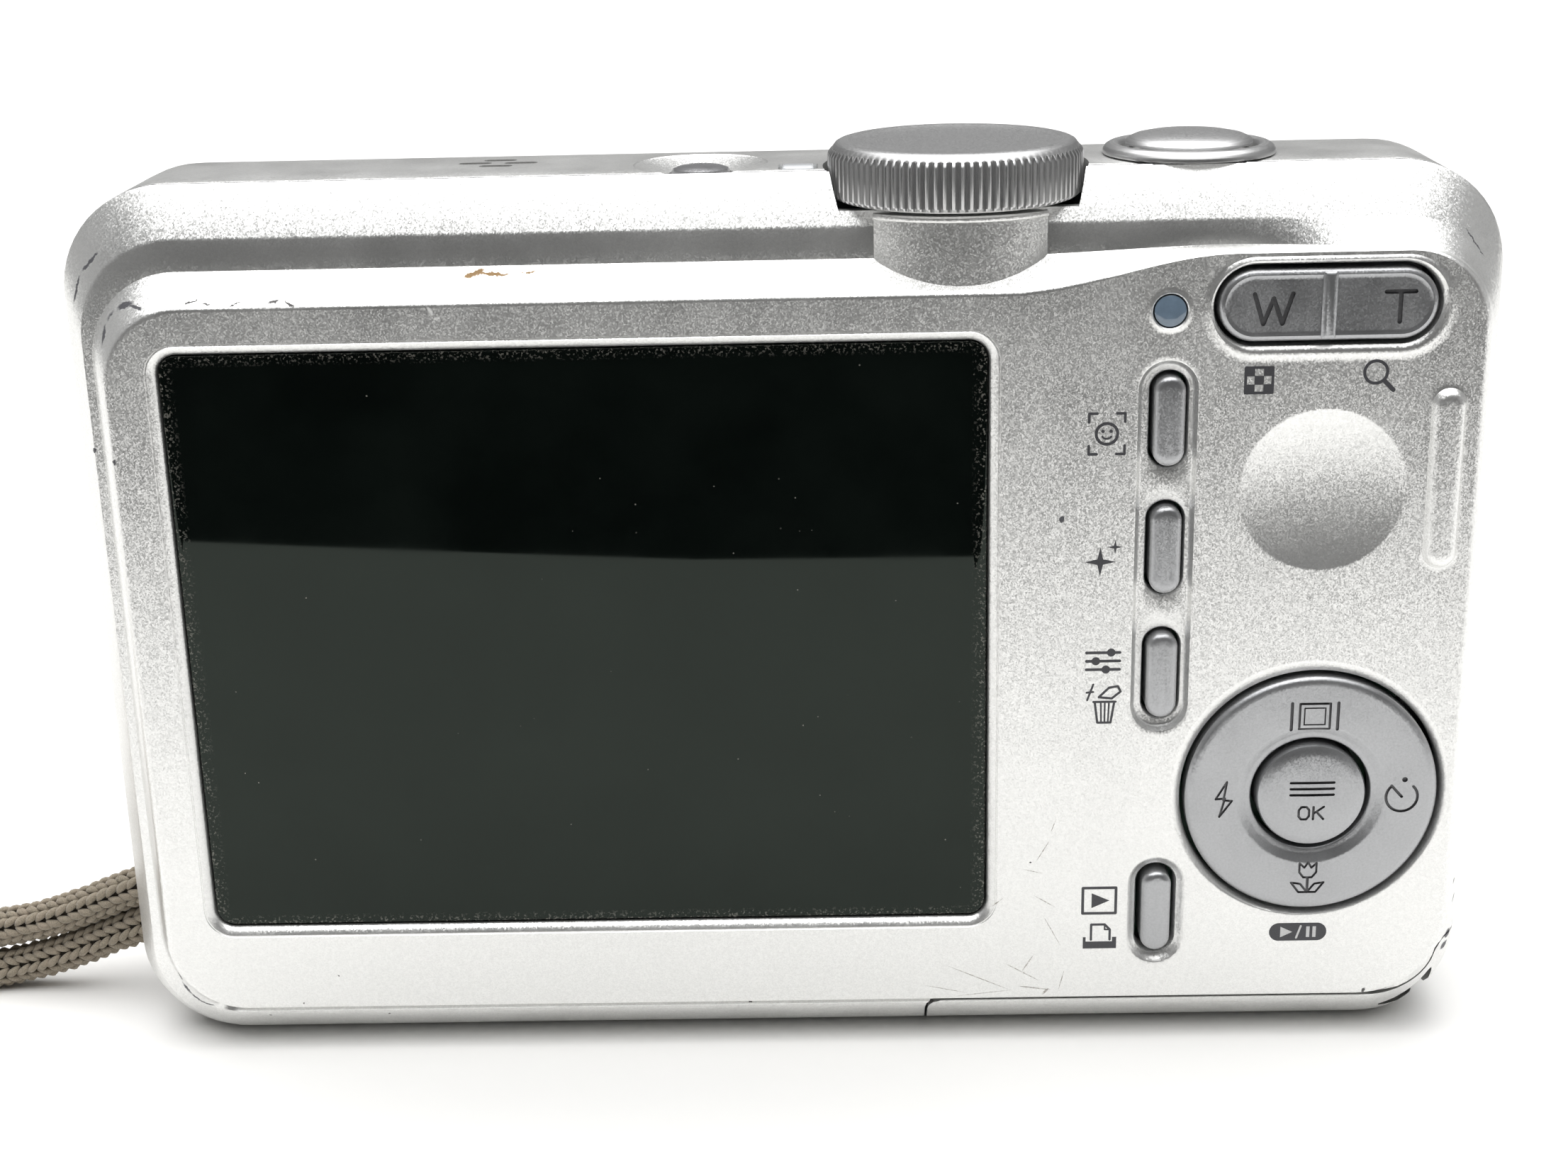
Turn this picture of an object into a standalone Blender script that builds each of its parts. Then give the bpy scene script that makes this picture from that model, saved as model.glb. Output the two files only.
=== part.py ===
"""Compact digital camera, standing on its base, as an assembly of separate named pieces.

Frame: +X towards the shutter side, +Y out of the lens, +Z up, the screen facing -Y.
Sizes are in millimetres. Depths are measured from the plane of the back face, towards the lens,
and the origin lies on the base, under the middle of the rigid body's bounding box.
"""
import math

import bmesh
import bpy
from mathutils import Matrix, Vector

MM = 0.001
GAP = 0.3

# Driving dimensions of the case
HALF_WIDTH = 48.5
HEIGHT = 62.9
CORNER_R = 7.0
BODY_DEPTH = 22.5
SEAM_DEPTH = 4.3
TRIM_DEPTH = (4.6, 5.1)
FRONT_START = 5.4
TOP_FLAT_END = 15.0
WALL = 1.4
BACK_WALL = 1.6

# Mode dial
DIAL_X = 12.0
DIAL_DEPTH = 7.0
DIAL_R = 8.6
DIAL_TEETH = 92
DIAL_LOW = 60.8
DIAL_HIGH = 64.6
DIAL_POCKET_R = 8.95
DIAL_BOSS_R = 10.1
DIAL_BOSS_DEPTH = 10.6
DIAL_BOSS_HALF = 5.75

# Lens
LENS_X = -14.0
LENS_Z = 32.0
LENS_RING_FRONT = 24.6
LENS_APERTURE_R = 4.5
BLADE_R = 4.9
BLADE_PIVOT = (8.2, 1.2)
BLADE_DEPTH = (21.8, 22.2)

# Keys on the back face: centre x, centre z
KEY_X = 25.9
KEY_Z = {"face_button": 46.5, "effect_button": 37.5, "function_button": 28.4}
PLAY_KEY = (26.0, 10.4)
KEY_SIZE = (2.1, 6.2)
PAD_CENTRE = (36.65, 19.25)
ROCKER_CENTRE = (36.1, 54.2)
ROCKER_SIZE = (14.4, 4.8)

# Status lamp beside the zoom rocker, thumb rest and grip rib
STATUS_LAMP = (25.76, 53.95)
THUMB_DISH = (36.35, 41.5)
THUMB_DISH_R = 5.6
THUMB_DISH_DEPTH = 0.7
GRIP_RIB = (44.45, 42.15)

# Shutter and power buttons on the top face: centre x, depth
SHUTTER = (28.1, 9.6)
POWER = (-5.3, 9.4)

# Battery door: seam x on the left, seam height, hinge axis
DOOR_LEFT = 9.8
DOOR_SEAM_Z = 3.1
DOOR_FRONT = 17.0
DOOR_HINGE = (47.4, 6.1)
DOOR_BARREL_R = 0.9

# Tripod socket in the base, speaker slots in the top face: x, depth
TRIPOD = (-3.0, 10.5)
SPEAKER_SLOTS = [(-19.5, 12.9), (-21.1, 11.6), (-17.9, 11.5), (-19.5, 10.2)]

# Screws: name, place of the head's outer face (x, depth, z) and the side of the case that it is in
SCREWS = [
    ("screw_base_left", (-40.0, 10.2, 0.1), "base"),
    ("screw_base_right", (6.2, 10.2, 0.1), "base"),
    ("screw_left", (-HALF_WIDTH + 0.1, 10.2, 51.5), "left"),
    ("screw_right", (HALF_WIDTH - 0.1, 10.2, 31.0), "right"),
]

# Strap. Its route runs out along the lower strand, round the loop's end and back along the upper
# one; each point is x, depth and height of the cord's middle.
STRAP_DEPTH = 10.8
STRAP_D = 2.9
STRAP_ROUTE = [
    (-48.5, 10.8, 5.85), (-51.5, 10.8, 4.85), (-57.0, 10.8, 2.75), (-62.5, 10.7, 1.5),
    (-70.0, 9.0, 1.45), (-80.0, 5.5, 1.45), (-90.0, 3.2, 1.45), (-100.0, 2.4, 1.45),
    (-110.0, 2.3, 1.45), (-120.0, 3.0, 1.45), (-128.0, 5.6, 1.45), (-132.6, 10.5, 1.45),
    (-133.2, 16.5, 1.45), (-130.0, 22.0, 1.45), (-122.5, 25.0, 1.45), (-112.0, 25.8, 1.45),
    (-100.0, 26.2, 1.45), (-90.0, 26.4, 1.45), (-82.0, 25.6, 1.45), (-78.4, 22.2, 1.45),
    (-80.5, 18.6, 1.45), (-87.0, 17.2, 1.45), (-96.0, 18.0, 1.45), (-106.0, 19.0, 1.45),
    (-116.0, 18.6, 1.45), (-122.4, 16.4, 1.45), (-123.4, 12.6, 1.45), (-119.0, 9.8, 1.45),
    (-110.0, 9.2, 1.45), (-100.0, 9.0, 1.45), (-88.0, 9.6, 1.45), (-77.0, 11.6, 1.5),
    (-69.0, 12.4, 2.6), (-62.5, 11.2, 4.6), (-57.0, 10.8, 5.95), (-51.5, 10.8, 8.0),
    (-48.5, 10.8, 9.0),
]

# The back face plane in the part's own frame, which puts y = 0 at the middle of the rigid depth
BACK = (DIAL_R - DIAL_DEPTH - LENS_RING_FRONT) / 2


def clear_scene():
    for obj in list(bpy.data.objects):
        bpy.data.objects.remove(obj, do_unlink=True)


def new_collection(name):
    collection = bpy.data.collections.new(name)
    bpy.context.scene.collection.children.link(collection)
    return collection


def material(name, colour, roughness=0.4, metallic=0.0, alpha=1.0):
    found = bpy.data.materials.get(name)
    if found:
        return found
    made = bpy.data.materials.new(name)
    made.use_nodes = True
    shader = made.node_tree.nodes["Principled BSDF"]
    shader.inputs["Base Color"].default_value = (*colour, 1.0)
    shader.inputs["Roughness"].default_value = roughness
    shader.inputs["Metallic"].default_value = metallic
    shader.inputs["Alpha"].default_value = alpha
    return made


def at(x, depth, z):
    """A point given by x, depth behind the back face and height, in metres."""
    return Vector((x, depth + BACK, z)) * MM


def add(name, mesh, look=None):
    """Put a mesh into the scene as a piece, or as a hidden cutter when it has no material."""
    obj = bpy.data.objects.new(name, mesh)
    if look is None:
        CUTTERS.objects.link(obj)
        obj.hide_render = True
        obj.display_type = "WIRE"
    else:
        PIECES.objects.link(obj)
        mesh.materials.append(look)
    return obj


def box(name, low, high, look=None, bevel=0.0):
    """A box between two corners, each (x, depth, z)."""
    mesh = bpy.data.meshes.new(name)
    bm = bmesh.new()
    bmesh.ops.create_cube(bm, size=1.0)
    size = [(b - a) * MM for a, b in zip(low, high)]
    bmesh.ops.scale(bm, vec=size, verts=bm.verts)
    bm.to_mesh(mesh)
    bm.free()
    obj = add(name, mesh, look)
    obj.location = at(*[(a + b) / 2 for a, b in zip(low, high)])
    if bevel:
        rounding = obj.modifiers.new("edges", "BEVEL")
        rounding.width = bevel * MM
        rounding.segments = 2
    return obj


def turned(name, profile, place, look=None, axis="Z", steps=32):
    """A solid of revolution: profile points (radius, height) run down the outer side."""
    mesh = bpy.data.meshes.new(name)
    closed = profile[0][0] > 0 and profile[-1][0] > 0
    verts = [(r * MM, 0, h * MM) for r, h in profile]
    edges = [(i, i + 1) for i in range(len(verts) - 1)]
    if closed:
        edges.append((len(verts) - 1, 0))
    mesh.from_pydata(verts, edges, [])
    obj = add(name, mesh, look)
    screw = obj.modifiers.new("turn", "SCREW")
    screw.steps = steps
    screw.render_steps = steps
    screw.use_merge_vertices = True
    screw.merge_threshold = 0.00001
    screw.use_smooth_shade = True
    obj.location = place
    if axis == "Y":
        obj.rotation_euler.x = math.radians(-90)
    if axis == "X":
        obj.rotation_euler.y = math.radians(90)
    return obj


def disc(name, radius, low, high, place, look=None, axis="Z", steps=32):
    """A plain cylinder between two heights on its axis."""
    return turned(name, [(0, high), (radius, high), (radius, low), (0, low)], place, look, axis, steps)


def tube(name, outer, inner, low, high, place, look=None, axis="Z", steps=32):
    """A plain ring between two heights on its axis."""
    profile = [(inner, high), (outer, high), (outer, low), (inner, low)]
    return turned(name, profile, place, look, axis, steps)


def rounded_rect(x0, x1, z0, z1, radius, segments=6):
    """Points of a rectangle with round corners, counter-clockwise from the top right."""
    points = []
    corners = ((x1 - radius, z1 - radius, 0), (x0 + radius, z1 - radius, 90),
               (x0 + radius, z0 + radius, 180), (x1 - radius, z0 + radius, 270))
    for cx, cz, start in corners:
        for i in range(segments + 1):
            a = math.radians(start + 90 * i / segments)
            points.append((cx + radius * math.cos(a), cz + radius * math.sin(a)))
    return points


def stadium(centre, size, segments=6):
    """A slot outline with round ends, of the given width and height."""
    (cx, cz), (width, height) = centre, size
    radius = min(width, height) / 2 - 0.01
    return rounded_rect(cx - width / 2, cx + width / 2, cz - height / 2, cz + height / 2, radius, segments)


def plate(name, outlines, near, far, look=None):
    """Flat outlines in the plane of the back face, extruded between two depths; later ones are holes."""
    curve = bpy.data.curves.new(name, "CURVE")
    curve.dimensions = "2D"
    curve.fill_mode = "BOTH"
    curve.extrude = (far - near) / 2 * MM
    for outline in outlines:
        spline = curve.splines.new("POLY")
        spline.points.add(len(outline) - 1)
        for point, (x, z) in zip(spline.points, outline):
            point.co = (x * MM, z * MM, 0, 1)
        spline.use_cyclic_u = True
    return meshed(name, curve, at(0, (near + far) / 2, 0), (math.radians(90), 0, 0), look)


def meshed(name, curve, location, rotation, look):
    """Turn a curve into a welded mesh object in the same place."""
    source = bpy.data.objects.new(name + "_curve", curve)
    CUTTERS.objects.link(source)
    source.location = location
    source.rotation_euler = rotation
    bpy.context.view_layer.update()
    evaluated = source.evaluated_get(bpy.context.evaluated_depsgraph_get())
    mesh = bpy.data.meshes.new_from_object(evaluated)
    place = source.matrix_world.copy()
    bm = bmesh.new()
    bm.from_mesh(mesh)
    bmesh.ops.remove_doubles(bm, verts=bm.verts, dist=0.000005)
    bmesh.ops.recalc_face_normals(bm, faces=bm.faces)
    bm.to_mesh(mesh)
    bm.free()
    mesh.materials.clear()
    obj = add(name, mesh, look)
    obj.matrix_world = place
    bpy.data.objects.remove(source)
    bpy.data.curves.remove(curve)
    return obj


def loft(name, rings, look=None):
    """A closed solid through rounded rectangles (depth, x0, x1, z0, z1, radius), back to front."""
    mesh = bpy.data.meshes.new(name)
    bm = bmesh.new()
    loops = []
    for depth, x0, x1, z0, z1, radius in rings:
        outline = rounded_rect(x0, x1, z0, z1, radius)
        loops.append([bm.verts.new(at(x, depth, z)) for x, z in outline])
    for near, far in zip(loops, loops[1:]):
        for i in range(len(near)):
            j = (i + 1) % len(near)
            bm.faces.new((near[i], near[j], far[j], far[i]))
    bm.faces.new(loops[0])
    bm.faces.new(loops[-1])
    bmesh.ops.recalc_face_normals(bm, faces=bm.faces)
    bm.to_mesh(mesh)
    bm.free()
    return add(name, mesh, look)


def combine(obj, others, operation="DIFFERENCE"):
    for other in others:
        step = obj.modifiers.new(other.name, "BOOLEAN")
        step.operation = operation
        step.object = other


def case_rings(sections, inset=0.0):
    """Loft rings of the case outline, from (depth, inset of the outline) pairs."""
    rings = []
    for depth, edge in sections:
        grow = edge + inset
        radius = max(CORNER_R - 0.6 * grow, 2.0)
        rings.append((depth, -HALF_WIDTH + grow, HALF_WIDTH - grow, grow, HEIGHT - grow, radius))
    return rings


BACK_RINGS = [
    (0.0, -45.2, 46.6, 3.4, 57.4, 5.5),
    (2.3, -47.1, 47.4, 1.4, 59.5, 6.3),
    (SEAM_DEPTH, -HALF_WIDTH, HALF_WIDTH, 0.0, HEIGHT, CORNER_R),
]
FRONT_SECTIONS = [(FRONT_START, 0.0), (TOP_FLAT_END, 0.0), (17.3, 0.5), (19.4, 1.8), (21.2, 3.9),
                  (BODY_DEPTH, 7.0)]
FRONT_CAVITY = [(FRONT_START - 0.6, 0.0), (14.5, 0.0), (16.3, 0.5), (18.0, 1.7), (19.7, 3.7),
                (BODY_DEPTH - WALL, 6.8)]


def door_outline():
    """The door seen from behind: a low strip that turns up at the right corner and ends in its barrel."""
    hinge_x, hinge_z = DOOR_HINGE
    edge = hinge_x - DOOR_BARREL_R
    points = [(DOOR_LEFT, -1.0), (HALF_WIDTH + 1.5, -1.0), (HALF_WIDTH + 1.5, hinge_z)]
    for i in range(7):
        a = math.radians(15 * i)
        points.append((hinge_x + DOOR_BARREL_R * math.cos(a), hinge_z + DOOR_BARREL_R * math.sin(a)))
    points += [(edge, hinge_z + 0.5), (edge, DOOR_SEAM_Z + 1.6), (edge - 1.6, DOOR_SEAM_Z),
               (DOOR_LEFT + 1.0, DOOR_SEAM_Z), (DOOR_LEFT, DOOR_SEAM_Z - 1.0)]
    return points


def door_gap_outline():
    """The space that the door needs in the case; square at the corner, so that the door can slide out."""
    hinge_x, hinge_z = DOOR_HINGE
    edge = hinge_x - DOOR_BARREL_R - GAP
    left, low = DOOR_LEFT - GAP, DOOR_SEAM_Z + GAP
    top = hinge_z + DOOR_BARREL_R + GAP + 0.1
    return [(left, -1.0), (HALF_WIDTH + 1.5, -1.0), (HALF_WIDTH + 1.5, top), (edge + 0.6, top),
            (edge, top - 0.6), (edge, low + 1.6), (edge - 1.6, low), (left + 1.0, low), (left, low - 1.0)]


def make_case():
    silver = material("silver_paint", (0.62, 0.62, 0.62), 0.35, 0.6)
    chrome = material("chrome_trim", (0.8, 0.8, 0.8), 0.12, 1.0)

    back = loft("back_cover", BACK_RINGS, silver)
    step_profile = [(-1.0, 54.5), (2.3, 57.4), (2.3, 66.0), (-1.0, 66.0)]
    step = ledge_cutter("step_cut", step_profile, -52.0, 27.0)
    boss = disc("dial_boss", DIAL_BOSS_R, 55.0, DIAL_LOW - GAP, at(DIAL_X, DIAL_BOSS_DEPTH, 0), steps=120)
    boss_keep = box("boss_keep", (DIAL_X - DIAL_BOSS_HALF, 0, 54), (DIAL_X + DIAL_BOSS_HALF, SEAM_DEPTH, 62))
    combine(boss, [boss_keep], "INTERSECT")
    rib = plate("grip_rib", [stadium(GRIP_RIB, (2.3, 12.5))], -0.6, 0.8)
    combine(back, [step])
    combine(back, [boss, rib], "UNION")

    hollow = loft("back_hollow", [(BACK_WALL, -44.4, 45.2, 4.8, 54.0, 4.0),
                                  (SEAM_DEPTH + 1, -44.4, 45.2, 4.8, 54.0, 4.0)])
    openings = [
        plate("screen_cut", [rounded_rect(-41.8, 14.1, 10.05, 52.2, 1.4)], -1, 3),
        plate("groove_cut", [stadium((25.8, 37.45), (4.0, 26.4))], -1, 0.5),
        plate("play_rim_cut", [stadium(PLAY_KEY, (4.0, 8.2))], -1, 0.4),
        plate("rocker_cut", [stadium(ROCKER_CENTRE, (15.0, 5.4))], -1, 6),
        plate("play_cut", [stadium(PLAY_KEY, (2.7, 6.8))], -1, 3),
        disc("pad_cut", 9.15, -1, 3, at(PAD_CENTRE[0], 0, PAD_CENTRE[1]), axis="Y"),
        disc("lamp_cut", 1.2, -1, 3, at(STATUS_LAMP[0], 0, STATUS_LAMP[1]), axis="Y", steps=16),
        thumb_dish(),
        disc("dial_pocket", DIAL_POCKET_R, DIAL_LOW - GAP, 70, at(DIAL_X, DIAL_DEPTH, 0), steps=48),
    ]
    for name, z in KEY_Z.items():
        openings.append(plate(name + "_cut", [stadium((KEY_X, z), (2.7, 6.8))], -1, 3))
    door_space = plate("door_space", [door_gap_outline()], -1, DOOR_FRONT + GAP)
    combine(back, [hollow] + openings + [door_space])

    outer = rounded_rect(-HALF_WIDTH, HALF_WIDTH, 0, HEIGHT, CORNER_R)
    inner = rounded_rect(-HALF_WIDTH + 1.3, HALF_WIDTH - 1.3, 1.3, HEIGHT - 1.3, CORNER_R - 1)
    # Under the dial the trim dips, so that it stays in one piece
    under_dial = [(DIAL_X + 10, HEIGHT - 1.3), (DIAL_X + 10, 58.8), (DIAL_X - 10, 58.8),
                  (DIAL_X - 10, HEIGHT - 1.3)]
    inner[7:7] = under_dial
    trim = plate("seam_trim", [outer, inner], *TRIM_DEPTH, chrome)
    dial_gap = box("dial_gap", (DIAL_X - 8.9, 4, DIAL_LOW - GAP), (DIAL_X + 8.9, 6, HEIGHT + 2))
    combine(trim, [dial_gap, door_space])

    front = loft("front_cover", case_rings(FRONT_SECTIONS), silver)
    cavity = loft("front_hollow", case_rings(FRONT_CAVITY, WALL))
    combine(front, [cavity, bpy.data.objects["dial_pocket"], door_space] + front_openings())


def ledge_cutter(name, profile, x0, x1):
    """A cutter with a constant (depth, z) profile along X."""
    mesh = bpy.data.meshes.new(name)
    bm = bmesh.new()
    face = bm.faces.new([bm.verts.new(at(x0, depth, z)) for depth, z in profile])
    grown = bmesh.ops.extrude_face_region(bm, geom=[face])
    moved = [item for item in grown["geom"] if isinstance(item, bmesh.types.BMVert)]
    bmesh.ops.translate(bm, vec=((x1 - x0) * MM, 0, 0), verts=moved)
    bmesh.ops.recalc_face_normals(bm, faces=bm.faces)
    bm.to_mesh(mesh)
    bm.free()
    return add(name, mesh)


def thumb_dish():
    """A shallow spherical hollow in the back face."""
    rim, depth = THUMB_DISH_R, THUMB_DISH_DEPTH
    radius = (rim * rim + depth * depth) / (2 * depth)
    start = math.asin(rim / radius)
    profile = [(0, 0.8), (rim, 0.8)]
    for i in range(6):
        a = start * (1 - i / 5)
        profile.append((radius * math.sin(a), radius * (math.cos(start) - math.cos(a))))
    # The cutter's axis points out of the back face, so it is turned over
    dish = turned("thumb_dish", profile, at(THUMB_DISH[0], 0, THUMB_DISH[1]))
    dish.rotation_euler.x = math.radians(90)
    return dish


def front_openings():
    """Everything cut from the front cover, apart from its hollow, the dial pocket and the door."""
    cuts = [
        disc("lens_bore", 16.0, 18, 24, at(LENS_X, 0, LENS_Z), axis="Y", steps=48),
        box("flash_cut", (4.2, 19, 47.2), (15.8, 24, 54.8)),
        disc("focus_lamp_cut", 2.1, 18, 24, at(-0.8, 0, 55.2), axis="Y", steps=20),
        disc("microphone_cut", 0.5, 18, 24, at(-36.5, 0, 50), axis="Y", steps=12),
        disc("shutter_cut", 3.4, 60, 66, at(*SHUTTER, 0)),
        disc("power_cut", 2.3, 60, 66, at(*POWER, 0), steps=24),
        turned("power_dish", [(0, 63.6), (4.5, 63.6), (4.1, 62.9), (2.6, 62.3), (0, 62.2)], at(*POWER, 0)),
        box("power_lamp_cut", (0.05, 5.6, 60), (2.75, 8.2, 66)),
        disc("tripod_cut", 4.7, -1, 3, at(*TRIPOD, 0)),
        box("terminal_cut", (-50, 7.2, 28.7), (-46, 15.0, 43.3)),
        box("eyelet_cut", (-50, 8.9, 3.6), (-44.2, 12.8, 11.6)),
    ]
    for i, (x, depth) in enumerate(SPEAKER_SLOTS):
        cuts.append(box(f"speaker_cut_{i}", (x - 1.15, depth - 0.4, 60), (x + 1.15, depth + 0.4, 66)))
    for name, place, side in SCREWS:
        cuts.append(screw_hole(name, place, side))
    return cuts


def aim(obj, side):
    """Turn a piece whose local -Z faces out of the base so that it faces out of another side."""
    if side == "left":
        obj.rotation_euler.y = math.radians(90)
    if side == "right":
        obj.rotation_euler.y = math.radians(-90)


def screw_hole(name, place, side):
    hole = disc(name + "_cut", 1.7, -2, 3, at(*place), steps=16)
    aim(hole, side)
    return hole


def make_screws():
    steel = material("steel", (0.35, 0.35, 0.36), 0.35, 1.0)
    for name, place, side in SCREWS:
        profile = [(0, 4.5), (0.6, 4.5), (0.8, 4.2), (0.8, 1.0), (1.4, 0.8), (1.4, 0.1), (1.2, 0),
                   (0.45, 0), (0.45, 0.6), (0, 0.6)]
        screw = turned(name, profile, at(*place), steel, steps=12)
        aim(screw, side)


def make_screen():
    glass = material("screen_glass", (0.01, 0.012, 0.012), 0.08, 0.0)
    panel = material("screen_panel", (0.03, 0.035, 0.035), 0.3, 0.0)
    frame = material("sheet_metal", (0.5, 0.5, 0.5), 0.35, 1.0)
    plate("lcd_window", [rounded_rect(-41.5, 13.8, 10.35, 51.9, 1.1)], 0.4, 1.3, glass)
    box("lcd_panel", (-41.0, 1.7, 10.8), (13.3, 3.3, 51.4), panel, 0.2)
    box("lcd_backlight", (-42.2, 3.6, 9.6), (14.5, 5.0, 52.6), frame, 0.3)


def make_boards():
    metal = material("sheet_metal", (0.5, 0.5, 0.5), 0.35, 1.0)
    board = material("circuit_board", (0.02, 0.12, 0.06), 0.5, 0.0)
    black = material("black_plastic", (0.02, 0.02, 0.022), 0.45, 0.0)
    steel = material("steel", (0.35, 0.35, 0.36), 0.35, 1.0)
    box("chassis_plate", (-43.5, 5.5, 8.0), (43.5, 6.1, 56.0), metal)
    box("main_board", (-43.5, 6.5, 8.0), (43.5, 7.5, 56.0), board)
    box("key_board", (21.5, 3.3, 7.0), (43.0, 4.1, 50.0), board)
    box("top_board", (-11.0, 5.6, 57.0), (38.0, 15.0, 57.8), board)
    disc("speaker", 5.0, 58.9, 60.6, at(-19.5, 11.5, 0), black, steps=24)
    disc("microphone", 2.0, 18.4, 19.6, at(-36.5, 0, 50), black, "Y", 16)
    disc("flash_capacitor", 4.1, -34, -10, at(0, 13.6, 8.2), black, "X", 20)
    disc("zoom_motor", 3.5, 9.0, 19.4, at(7.4, 0, 20), steel, "Y", 20)
    box("usb_port", (-46.8, 8.6, 32.0), (-42.6, 13.6, 40.5), metal)
    combine(bpy.data.objects["usb_port"], [box("port_cut", (-48, 9.9, 33.0), (-44, 12.3, 39.5))])


def make_power():
    black = material("black_plastic", (0.02, 0.02, 0.022), 0.45, 0.0)
    metal = material("sheet_metal", (0.5, 0.5, 0.5), 0.35, 1.0)
    label = material("battery_wrap", (0.06, 0.06, 0.08), 0.4, 0.0)
    card = material("card_plastic", (0.03, 0.05, 0.12), 0.4, 0.0)
    shell = box("battery_box", (12.0, 11.9, 7.3), (43.6, 19.1, 47.4), black)
    combine(shell, [box("battery_space", (12.9, 12.6, 0), (42.7, 18.4, 46.6))])
    box("battery_pack", (13.2, 12.9, 7.6), (42.4, 18.1, 46.0), label, 0.8)
    sleeve = box("card_slot", (15.0, 7.9, 7.4), (41.0, 11.6, 41.4), metal)
    combine(sleeve, [box("card_space", (15.7, 8.4, 0), (40.3, 11.1, 40.6))])
    box("memory_card", (16.0, 8.7, 7.7), (40.0, 10.8, 39.7), card, 0.3)


def make_battery_door():
    silver = material("silver_paint", (0.62, 0.62, 0.62), 0.35, 0.6)
    metal = material("sheet_metal", (0.5, 0.5, 0.5), 0.35, 1.0)
    hinge_x, hinge_z = DOOR_HINGE
    sections = BACK_RINGS + case_rings(FRONT_SECTIONS)[1:]
    door = loft("battery_door", sections, silver)
    share = plate("door_share", [door_outline()], -1, DOOR_FRONT)
    hollow = loft("door_hollow", [(BACK_WALL, -30, 45.6, 1.5, 30, 5.0), (2.4, -30, 46.8, 1.5, 30, 6.0),
                                  (DOOR_FRONT - 1.6, -30, 46.8, 1.5, 30, 6.0)])
    knuckle_space = box("knuckle_space", (44.0, 7.7, 4.6), (47.9, 12.9, 8.0))
    barrel_space = disc("barrel_space", DOOR_BARREL_R + GAP, 7.7, 12.9, at(hinge_x, 0, hinge_z), axis="Y")
    combine(door, [share], "INTERSECT")
    combine(door, [hollow, knuckle_space, barrel_space])

    hinge = box("door_hinge", (36.0, 8.0, hinge_z - 0.4), (hinge_x, 12.6, hinge_z + 0.4), metal)
    barrel = disc("hinge_barrel", DOOR_BARREL_R, 8.0, 12.6, at(hinge_x, 0, hinge_z), axis="Y", steps=16)
    combine(hinge, [barrel], "UNION")


def make_lens():
    black = material("black_plastic", (0.02, 0.02, 0.022), 0.45, 0.0)
    silver = material("barrel_silver", (0.6, 0.6, 0.62), 0.25, 0.9)
    chrome = material("chrome_trim", (0.8, 0.8, 0.8), 0.12, 1.0)
    glass = material("lens_glass", (0.03, 0.02, 0.05), 0.05, 0.0)
    sensor = material("sensor_face", (0.02, 0.05, 0.04), 0.2, 0.0)
    centre = at(LENS_X, 0, LENS_Z)

    base = [(15.7, 20.6), (17.4, 20.6), (17.4, 9.7), (5.0, 9.7), (5.0, 10.7), (15.7, 10.7)]
    turned("lens_base", base, centre, black, "Y", 40)
    ring = [(16.1, LENS_RING_FRONT - 0.3), (16.6, LENS_RING_FRONT), (18.0, LENS_RING_FRONT),
            (19.3, 23.6), (19.3, 22.8), (16.1, 22.8)]
    turned("lens_ring", ring, centre, chrome, "Y", 48)
    outer = [(12.9, 23.4), (15.0, 23.4), (15.4, 23.0), (15.4, 11.2), (12.9, 11.2)]
    turned("lens_outer_barrel", outer, centre, silver, "Y", 40)
    inner = [(11.3, 23.2), (12.2, 23.2), (12.5, 22.9), (12.5, 11.6), (11.3, 11.6)]
    turned("lens_inner_barrel", inner, centre, silver, "Y", 40)
    tube("lens_front_plate", 11.0, LENS_APERTURE_R, 20.8, 21.4, centre, black, "Y", 40)
    front = [(0, 20.4), (3.0, 20.2), (6.0, 19.6), (9.0, 18.4), (9.0, 17.2), (0, 17.2)]
    turned("front_lens", front, centre, glass, "Y", 24)
    turned("rear_lens", [(0, 13.4), (2.5, 13.2), (4.7, 12.6), (4.7, 11.4), (0, 11.2)], centre, glass, "Y", 20)
    tube("barrier_ring", 11.0, 5.4, 22.5, 23.0, centre, black, "Y", 32)
    box("image_sensor", (LENS_X - 4.6, 7.9, LENS_Z - 3.8), (LENS_X + 4.6, 9.3, LENS_Z + 3.8), sensor)
    barrier_blade("barrier_blade_upper", 1, silver)
    barrier_blade("barrier_blade_lower", -1, silver)


def barrier_blade(name, side, look):
    """Half a disc with an arm out to its pivot; the two blades are half a turn apart."""
    pivot_x, pivot_z = BLADE_PIVOT
    half = [(BLADE_R * math.cos(math.radians(a)), max(BLADE_R * math.sin(math.radians(a)), 0.15))
            for a in range(20, 181, 20)]
    arm = [(pivot_x + 1.1 * math.cos(math.radians(a)), pivot_z + 1.1 * math.sin(math.radians(a)))
           for a in range(-90, 91, 30)]
    outline = [(x * side, z * side) for x, z in half + arm]
    blade = plate(name, [outline], *BLADE_DEPTH, look)
    blade.data.transform(blade.matrix_world)
    pivot = at(LENS_X + pivot_x * side, sum(BLADE_DEPTH) / 2, LENS_Z + pivot_z * side)
    blade.data.transform(Matrix.Translation(at(LENS_X, -BACK, LENS_Z) - pivot))
    blade.matrix_world = Matrix.Translation(pivot)


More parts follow.
